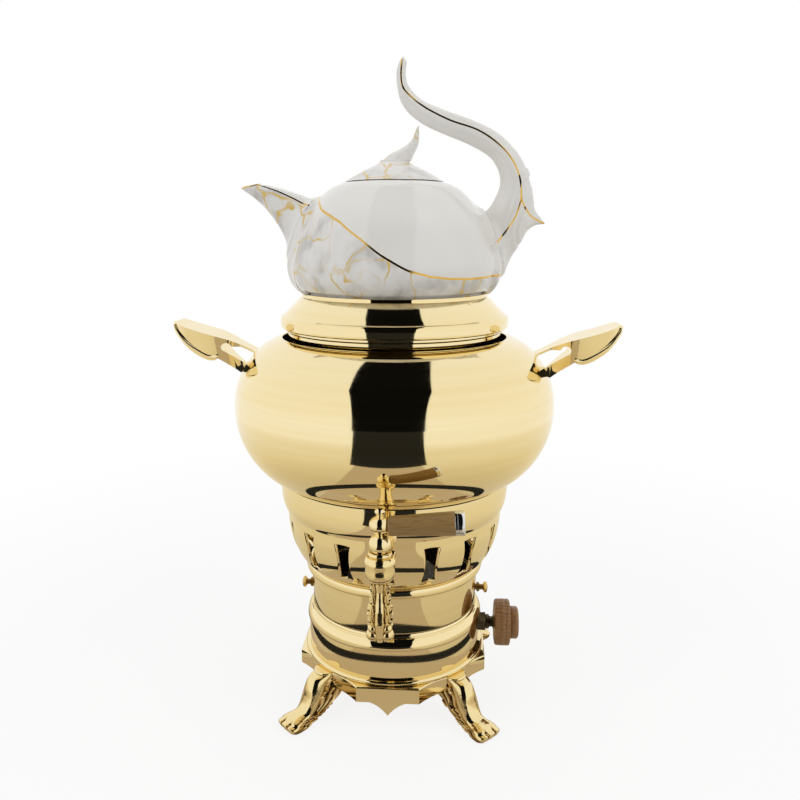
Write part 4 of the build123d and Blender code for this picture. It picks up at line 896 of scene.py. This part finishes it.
spout_part, spout_painted_shade = tap_spout()
housing = spin(np.array([(0, -13.4), (6.0, -13.2), (7.2, -12.4), (8.4, -11.0), (9.3, -8.6), (9.6, -5.4),
                         (9.4, -1.8), (9.9, -0.6), (10.0, 0.8), (9.6, 2.0), (9.0, 2.8), (8.6, 3.7),
                         (8.0, 4.1), (0, 4.1)])
               + [0, tap_level], SMALL_ROUND, loop=False, centre=(0, tap_front))
barrel = lathe([(0, 0), (0, 7.4), (0.4, 7.8), (2.2, 7.8), (2.6, 7.3), (3.0, 6.2), (4.4, 5.6), (6.0, 5.4),
                (8.0, 5.7), (9.4, 6.3), (10.4, 6.5), (11.4, 6.3), (12.8, 5.7), (18, 5.4), (26, 5.4),
                (34, 5.6), (34, 0)],
               (0, -cup_face - 0.8, tap_level), (0, -1, 0))
stem = lathe([(0, 0), (0, 5.0), (17.5, 5.0), (17.5, 0)], (0, -cup_face + 16.5, tap_level), (0, -1, 0), 64)
curls = [spin(arc(width, width, 17) + [0, outlet + height], 40, loop=False,
              centre=(side * 4.6, tap_front + ahead))
         for side in (-1, 1) for height, width, ahead in ((4.4, 4.4, -2.0), (9.4, 3.2, -3.4))]
# painted shade: the spout's leaves and grooves, and faintly the curls
piece("tap_body_cast", [spout_part, housing, barrel, stem] + curls, CAST, "stand", ["tap_body"], "cast_brass",
      crease=radians(50), values={"painted_shade": [spout_painted_shade, 0.0, 0.0, 0.0] + [0.05] * len(curls)})

plug_line = np.vstack([[(4.6, 0.1)], arc(1.4, 1.4, 13) + [6.2, 1.5], [(4.6, 2.9)]]) + [0, housing_top]
turned("plug_ring", [spin(plug_line, SMALL_ROUND, centre=(0, tap_front))], GILT, "stand", "gold_sheet")

ball_middle = ring_top + 0.3 + 4.4
key_line = np.vstack([
    [(0, tap_level - 9.0), (5.9, tap_level - 9.0), (5.9, housing_top - 0.4), (4.4, housing_top),
     (4.4, ring_top + 0.3)],
    arc(7.1, 7.1, 26, -0.62, 1.16) + [0, ball_middle],
    flow([(3.0, 6.9), (3.4, 7.5), (5.4, 9.4), (6.7, 12.2), (6.3, 15.2), (4.4, 17.4), (2.6, 18.3), (2.0, 19.0),
          (2.7, 20.2), (3.3, 21.6), (2.7, 23.0), (1.4, 23.7)], 60) + [0, ball_middle],
    [(0, ball_middle + 23.8)]])
turned("tap_plug", [spin(key_line, 128, loop=False, centre=(0, tap_front))], GILT, "tap_key", "gold_sheet")

lever_from = np.array([0, tap_front, ball_middle + 11.8])
lever_way = (cos(radians(4)), 0, sin(radians(4)))
wood_line = flow([(5.4, 5.9), (6.6, 6.3), (14, 6.4), (24, 6.8), (34, 7.2), (42, 7.5), (46.2, 7.6)], 60)
wood_line = np.vstack([[(5.4, 0.0), (5.4, 5.5)], wood_line, [(46.8, 7.2), (46.8, 0.0)]])
turned("lever_wood", [lathe(wood_line, lever_from, lever_way)], LEVER_WOOD, "tap_key", "wood")
cap_line = [(46.8, 0), (46.8, 7.5), (47.1, 7.8), (48.2, 7.8), (48.4, 7.3), (48.8, 7.3), (49.0, 7.8),
            (51.6, 7.8), (52.4, 7.4), (52.9, 6.6), (53.0, 5.4), (52.7, 4.8), (52.7, 0)]
turned("lever_cap", [lathe(cap_line, lever_from, lever_way)], CHROME, "tap_key", "chrome")

# ---- gas knob and thumb screws ----
gas_level = plate_top + 17.0
gland_face = drum_radius + 5.5
knob_from = (gland_face + 7.0, 0, gas_level)
side_way = (1, 0, 0)
collar = lathe([(0.3, 0), (0.3, 5.2), (0.8, 5.8), (2.6, 5.8), (3.0, 5.2), (3.3, 4.3), (5.4, 4.1), (5.8, 4.7),
                (6.9, 5.0), (6.9, 0)], (gland_face, 0, gas_level), side_way, 64)
inner_stem = lathe([(-14, 0), (-14, 2.9), (0.4, 2.9), (0.4, 0)], (gland_face, 0, gas_level), side_way, 48)
turned("valve_stem", [collar, inner_stem], VALVE, "gas_knob", "valve_brass")


def fluted(profile, start, flutes, depth):
    """Turned piece along X whose rim is cut by shallow flutes, the absolute value of a sine wave."""
    verts, quads, tris = lathe(profile, (0, 0, 0), side_way, 360)
    turn, reach = np.arctan2(verts[:, 1], verts[:, 2]), np.hypot(verts[:, 1], verts[:, 2])
    rim = smooth_step(reach, reach.max() - 1.4, reach.max() - 0.3)
    scale = 1 - depth * (1 - np.abs(np.sin(flutes / 2 * turn)) ** 0.6) * rim / np.maximum(reach, 1)
    return verts * np.stack([np.ones_like(scale), scale, scale], -1) + start, quads, tris


disc_line = [(0, 0), (0, 14.0), (0.3, 16.6), (0.5, 17.6), (1.4, 18.3), (3.4, 18.5), (3.8, 18.2), (4.2, 18.5),
             (8.2, 18.5), (8.6, 18.2), (9.0, 18.5), (11.2, 18.4), (12.2, 17.8), (12.5, 16.8), (12.5, 14.4),
             (12.2, 14.0), (12.5, 13.6), (12.5, 0)]
turned("knob_disc", [fluted(disc_line, knob_from, 36, 0.5)], KNOB_WOOD, "gas_knob", "wood")
hub_line = [(12.5, 0), (12.5, 12.6), (13.2, 12.6), (13.6, 12.9), (17.8, 12.9), (18.8, 12.4), (19.4, 11.4),
            (19.5, 10.0), (19.5, 7.6), (19.1, 7.1), (19.1, 3.1), (16.6, 3.1), (16.6, 0)]
turned("knob_hub", [lathe(hub_line, knob_from, side_way)], KNOB_WOOD, "gas_knob", "wood")

shank_line = [(-11, 0), (-11, 2.4), (0, 2.4), (0, 3.5), (0.3, 3.8), (1.7, 3.8), (2.0, 3.4), (2.4, 2.3),
              (6.6, 2.1), (8.0, 0)]
head_line = [(5.2, 0), (5.2, 2.9), (5.7, 3.6), (6.2, 4.3), (6.9, 4.6), (7.6, 4.4), (8.3, 3.6), (8.8, 2.4),
             (9.0, 1.2), (9.1, 0)]
for name, side in (("right", 1), ("left", -1)):
    seat_face = (side * (waist_radius + 1.5), 0, waist_foot + 8.5)
    # painted shade: much on the shank under the head, a little on the head
    turned("thumb_screw_" + name,
           [lathe(line, seat_face, (side, 0, 0), 64) for line in (shank_line, head_line)], CAST,
           name + "_thumb_screw", "cast_brass", values={"painted_shade": [0.75, 0.25]})

# ---- tank handles ----
crest_line = np.array([(92.0, 259.2), (108, 277.5), (117, 282), (132, 288.3), (147, 292.8), (165, 299),
                       (170, 300.0)])


def taper(half, reach, height):
    """Half width below the crest: 0.36 mm goes with each mm, and a quarter of it always stays."""
    depth = np.clip(np.interp(reach, crest_line[:, 0], crest_line[:, 1]) - height, 0, 30)
    return np.maximum(half - 0.36 * depth, 0.25 * half)


rim = flow([(133.5, 273.6), (137.0, 272.8), (142, 273.4), (149, 277.2), (156, 282.2), (161.5, 287.4),
            (165.4, 292.6), (167.2, 297.2)], 70)
thick = np.interp(np.linspace(0, 1, 70), [0, 0.08, 0.85, 1], [0.5, 2.3, 2.2, 0.9])[:, None]
rim_side = leftward(np.gradient(rim, axis=0)) * thick
nose = np.sqrt(np.clip(1 - (np.maximum(rim[:, 0] - 157, 0) / 13) ** 2, 0.05, 1))
rim_half = (taper(17.0 * nose, rim[:, 0], rim[:, 1]) + 0.5)[:, None]
rim_rings = section_grid(np.hstack([rim - rim_side, rim + rim_side, rim_half]), 64, 3.2)[0]
for name, side in (("right", 1), ("left", -1)):
    mesh = frame["nodes"]["handle_" + name].data.copy()
    shape = bmesh.new()
    shape.from_mesh(mesh)
    bmesh.ops.remove_doubles(shape, verts=shape.verts, dist=1e-6)
    bmesh.ops.dissolve_limit(shape, angle_limit=radians(1), verts=shape.verts, edges=shape.edges)
    shape.to_mesh(mesh)
    shape.free()
    spots = np.empty(len(mesh.vertices) * 3)
    mesh.vertices.foreach_get("co", spots)
    spots = spots.reshape(-1, 3) / MM
    spots[:, 1] = np.sign(spots[:, 1]) * taper(np.abs(spots[:, 1]), np.abs(spots[:, 0]), spots[:, 2])
    mesh.vertices.foreach_set("co", spots.reshape(-1) * MM)
    mesh.materials.clear()
    mesh.materials.append(GILT)
    mesh.polygons.foreach_set("use_smooth", np.ones(len(mesh.polygons), bool))
    mesh.set_sharp_from_angle(angle=radians(30))
    shell = in_scene("handle_" + name + "_skin", mesh)
    soft = shell.modifiers.new("edges", "BEVEL")
    soft.width, soft.segments, soft.limit_method, soft.angle_limit = 0.7 * MM, 2, "ANGLE", radians(35)
    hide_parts("handle_" + name)
    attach(shell, "stand")
    piece("handle_" + name + "_rim", [skin(rim_rings * [side, side, 1], (True, True))], GILT, "stand",
          slot="gold_sheet", crease=radians(60))

# ---- stage ----
camera_data = bpy.data.cameras.new("camera")
camera_data.sensor_width = 36.0
camera_data.lens = 34.2
camera_data.shift_x = 0.007
camera = in_scene("camera", camera_data)
camera.location = (0.0400, -0.5726, 0.367)
camera.rotation_euler = (radians(90 - 12.6), 0, radians(4))
bpy.context.scene.camera = camera


def studio_floor():
    """Large white floor that keeps the object's soft shadow. In mirrors it glows with a painted stand:
    a grey board with a dark elliptic band round the feet, a painted shadow gap; bright fabric at
    the sides, turning tan near the object as painted shade; and painted darkness for the way out
    in front, whose edge lies 0.43 times a hyperbola's distance to each side."""
    mesh = bpy.data.meshes.new("floor")
    size, board_front = 30.0, -0.335
    mesh.from_pydata([(-size, -size, 0), (size, -size, 0), (size, size, 0), (-size, size, 0)], [],
                     [(0, 1, 2, 3)])
    material, tree, out = new_material("floor_white")
    at = add(tree, "TexCoord", out="Object")
    x, y, _ = add(tree, "SeparateXYZ", {"Vector": at}).node.outputs
    x = add(tree, "Math", {0: x}, operation="ABSOLUTE")
    away = add(tree, "VectorMath", {0: at}, "Value", operation="LENGTH")
    # painted shade: tan near the object, white far off
    cloth_painted_shade = add(tree, "ValToRGB", {"Fac": away}, stops=[(0.15, "#CEC3AB"), (0.4, "#EBE2C9"), (0.95, "#FFFFFF")])
    board = add(tree, "Math", {0: inside(tree, x, -1.0, 0.13), 1: inside(tree, y, board_front, 0.19)},
                operation="MULTIPLY")
    shadow_gap_oval = add(tree, "VectorMath", {0: at, 1: (1.16, 1.0, 0.0)}, operation="MULTIPLY")
    shadow_gap_oval = add(tree, "VectorMath", {0: shadow_gap_oval}, "Value", operation="LENGTH")
    ahead = add(tree, "VectorMath", {0: at, 1: (0.0, 1.0, 0.0), 2: (0.2191, 0.118, 0.0)},
                operation="MULTIPLY_ADD")
    ahead = add(tree, "VectorMath", {0: ahead}, "Value", operation="LENGTH")
    reach = add(tree, "Math", {0: ahead, 1: 0.43, 2: 0.02}, operation="MULTIPLY_ADD")
    within = add(tree, "Math", {0: x, 1: reach}, operation="LESS_THAN")
    painted_dark_front = add(tree, "Math", {0: within, 1: inside(tree, y, -2 * size, board_front)}, operation="MULTIPLY")
    # painted shadow gap round the feet and painted darkness in front
    dark = add(tree, "Math", {0: inside(tree, shadow_gap_oval, 0.167, 0.196), 1: painted_dark_front}, operation="MAXIMUM")
    stand = add(tree, "Mix", {"Factor": board, 6: cloth_painted_shade, 7: linear("#BFB09B")}, 2, data_type="RGBA")
    stand = add(tree, "Mix", {"Factor": dark, 6: stand, 7: (0.02, 0.02, 0.02, 1)}, 2, data_type="RGBA")
    rays = add(tree, "LightPath").node.outputs
    far = add(tree, "ValToRGB", {"Fac": away}, stops=[(0.3, 0.86), (0.75, 1.0)])
    lit = add(tree, "BsdfDiffuse", {"Color": linear("#F2F2F2")})
    white = add(tree, "Emission", {"Color": (1, 1, 1, 1), "Strength": 1.0})
    seen = add(tree, "MixShader", {0: far, 1: lit, 2: white})
    straight = add(tree, "Math", {0: rays["Is Camera Ray"], 1: rays["Is Transmission Ray"]},
                   operation="MAXIMUM")
    plain = add(tree, "MixShader", {0: straight, 1: lit, 2: seen})
    # glossy rays see this painted stand glowing instead of the lit floor
    painted_mirror_view = add(tree, "Emission", {"Color": stand, "Strength": 1.0})
    mix = add(tree, "MixShader", {0: rays["Is Glossy Ray"], 1: plain, 2: painted_mirror_view})
    tree.links.new(mix, out.inputs["Surface"])
    mesh.materials.append(material)
    in_scene("floor", mesh)


def soft_lamp(name, location, target, size, power):
    """Square area lamp that looks at a target, left out of mirrors."""
    data = bpy.data.lights.new(name, "AREA")
    data.size = size
    data.energy = power
    lamp = in_scene(name, data)
    lamp.location = location
    lamp.rotation_euler = (Vector(target) - Vector(location)).to_track_quat("-Z", "Y").to_euler()
    lamp.visible_glossy = False


def studio_air():
    """World: white where the camera looks at it; in mirrors a white tent with a dark gap in
    front that narrows overhead; an even pale light elsewhere."""
    world = bpy.data.worlds.new("studio")
    bpy.context.scene.world = world
    world.use_nodes = True
    tree = world.node_tree
    tree.nodes.clear()
    out = tree.nodes.new("ShaderNodeOutputWorld")
    way = add(tree, "TexCoord", out="Generated")
    x, y, z = add(tree, "SeparateXYZ", {"Vector": way}).node.outputs
    forward = add(tree, "Math", {0: y, 1: -1.0}, operation="MULTIPLY")
    climb = add(tree, "Math", {0: z, 1: forward}, operation="ARCTAN2")
    spread = add(tree, "VectorMath", {0: way, 1: (0.0, 1.0, 1.0)}, operation="MULTIPLY")
    spread = add(tree, "VectorMath", {0: spread}, "Value", operation="LENGTH")
    side = add(tree, "Math", {0: add(tree, "Math", {0: x}, operation="ABSOLUTE"), 1: spread},
               operation="DIVIDE")
    half = add(tree, "MapRange", {"Value": climb, "From Min": 0.96, "From Max": 2.0, "To Min": 0.45,
                                  "To Max": 0.17})
    within = add(tree, "Math", {0: side, 1: half}, operation="LESS_THAN")
    gap = add(tree, "Math", {0: within, 1: inside(tree, climb, -1.4, 2.02)}, operation="MULTIPLY")
    tent = add(tree, "MapRange", {"Value": z, "From Min": -0.1, "From Max": 1.0, "To Min": 1.02,
                                  "To Max": 0.97})
    room = add(tree, "Mix", {"Factor": gap, 6: tent, 7: (0.004, 0.004, 0.004, 1)}, 2, data_type="RGBA")
    mirror = add(tree, "Background", {"Color": room, "Strength": 1.0})
    even = add(tree, "Background", {"Color": (0.92, 0.92, 0.92, 1), "Strength": 0.5})
    white = add(tree, "Background", {"Color": (1, 1, 1, 1), "Strength": 1.0})
    rays = add(tree, "LightPath").node.outputs
    inner = add(tree, "MixShader", {0: rays["Is Glossy Ray"], 1: even, 2: mirror})
    outer = add(tree, "MixShader", {0: rays["Is Camera Ray"], 1: inner, 2: white})
    tree.links.new(outer, out.inputs["Surface"])


studio_floor()
studio_air()
soft_lamp("lamp_left", (-1.3, -0.9, 1.3), (0, 0, 0.25), 1.2, 9)
soft_lamp("lamp_right", (1.4, -0.6, 1.1), (0, 0, 0.25), 1.0, 7)
soft_lamp("lamp_top", (0.0, 0.2, 1.9), (0, 0, 0.2), 1.2, 5)
bpy.context.scene.view_settings.view_transform = "Standard"
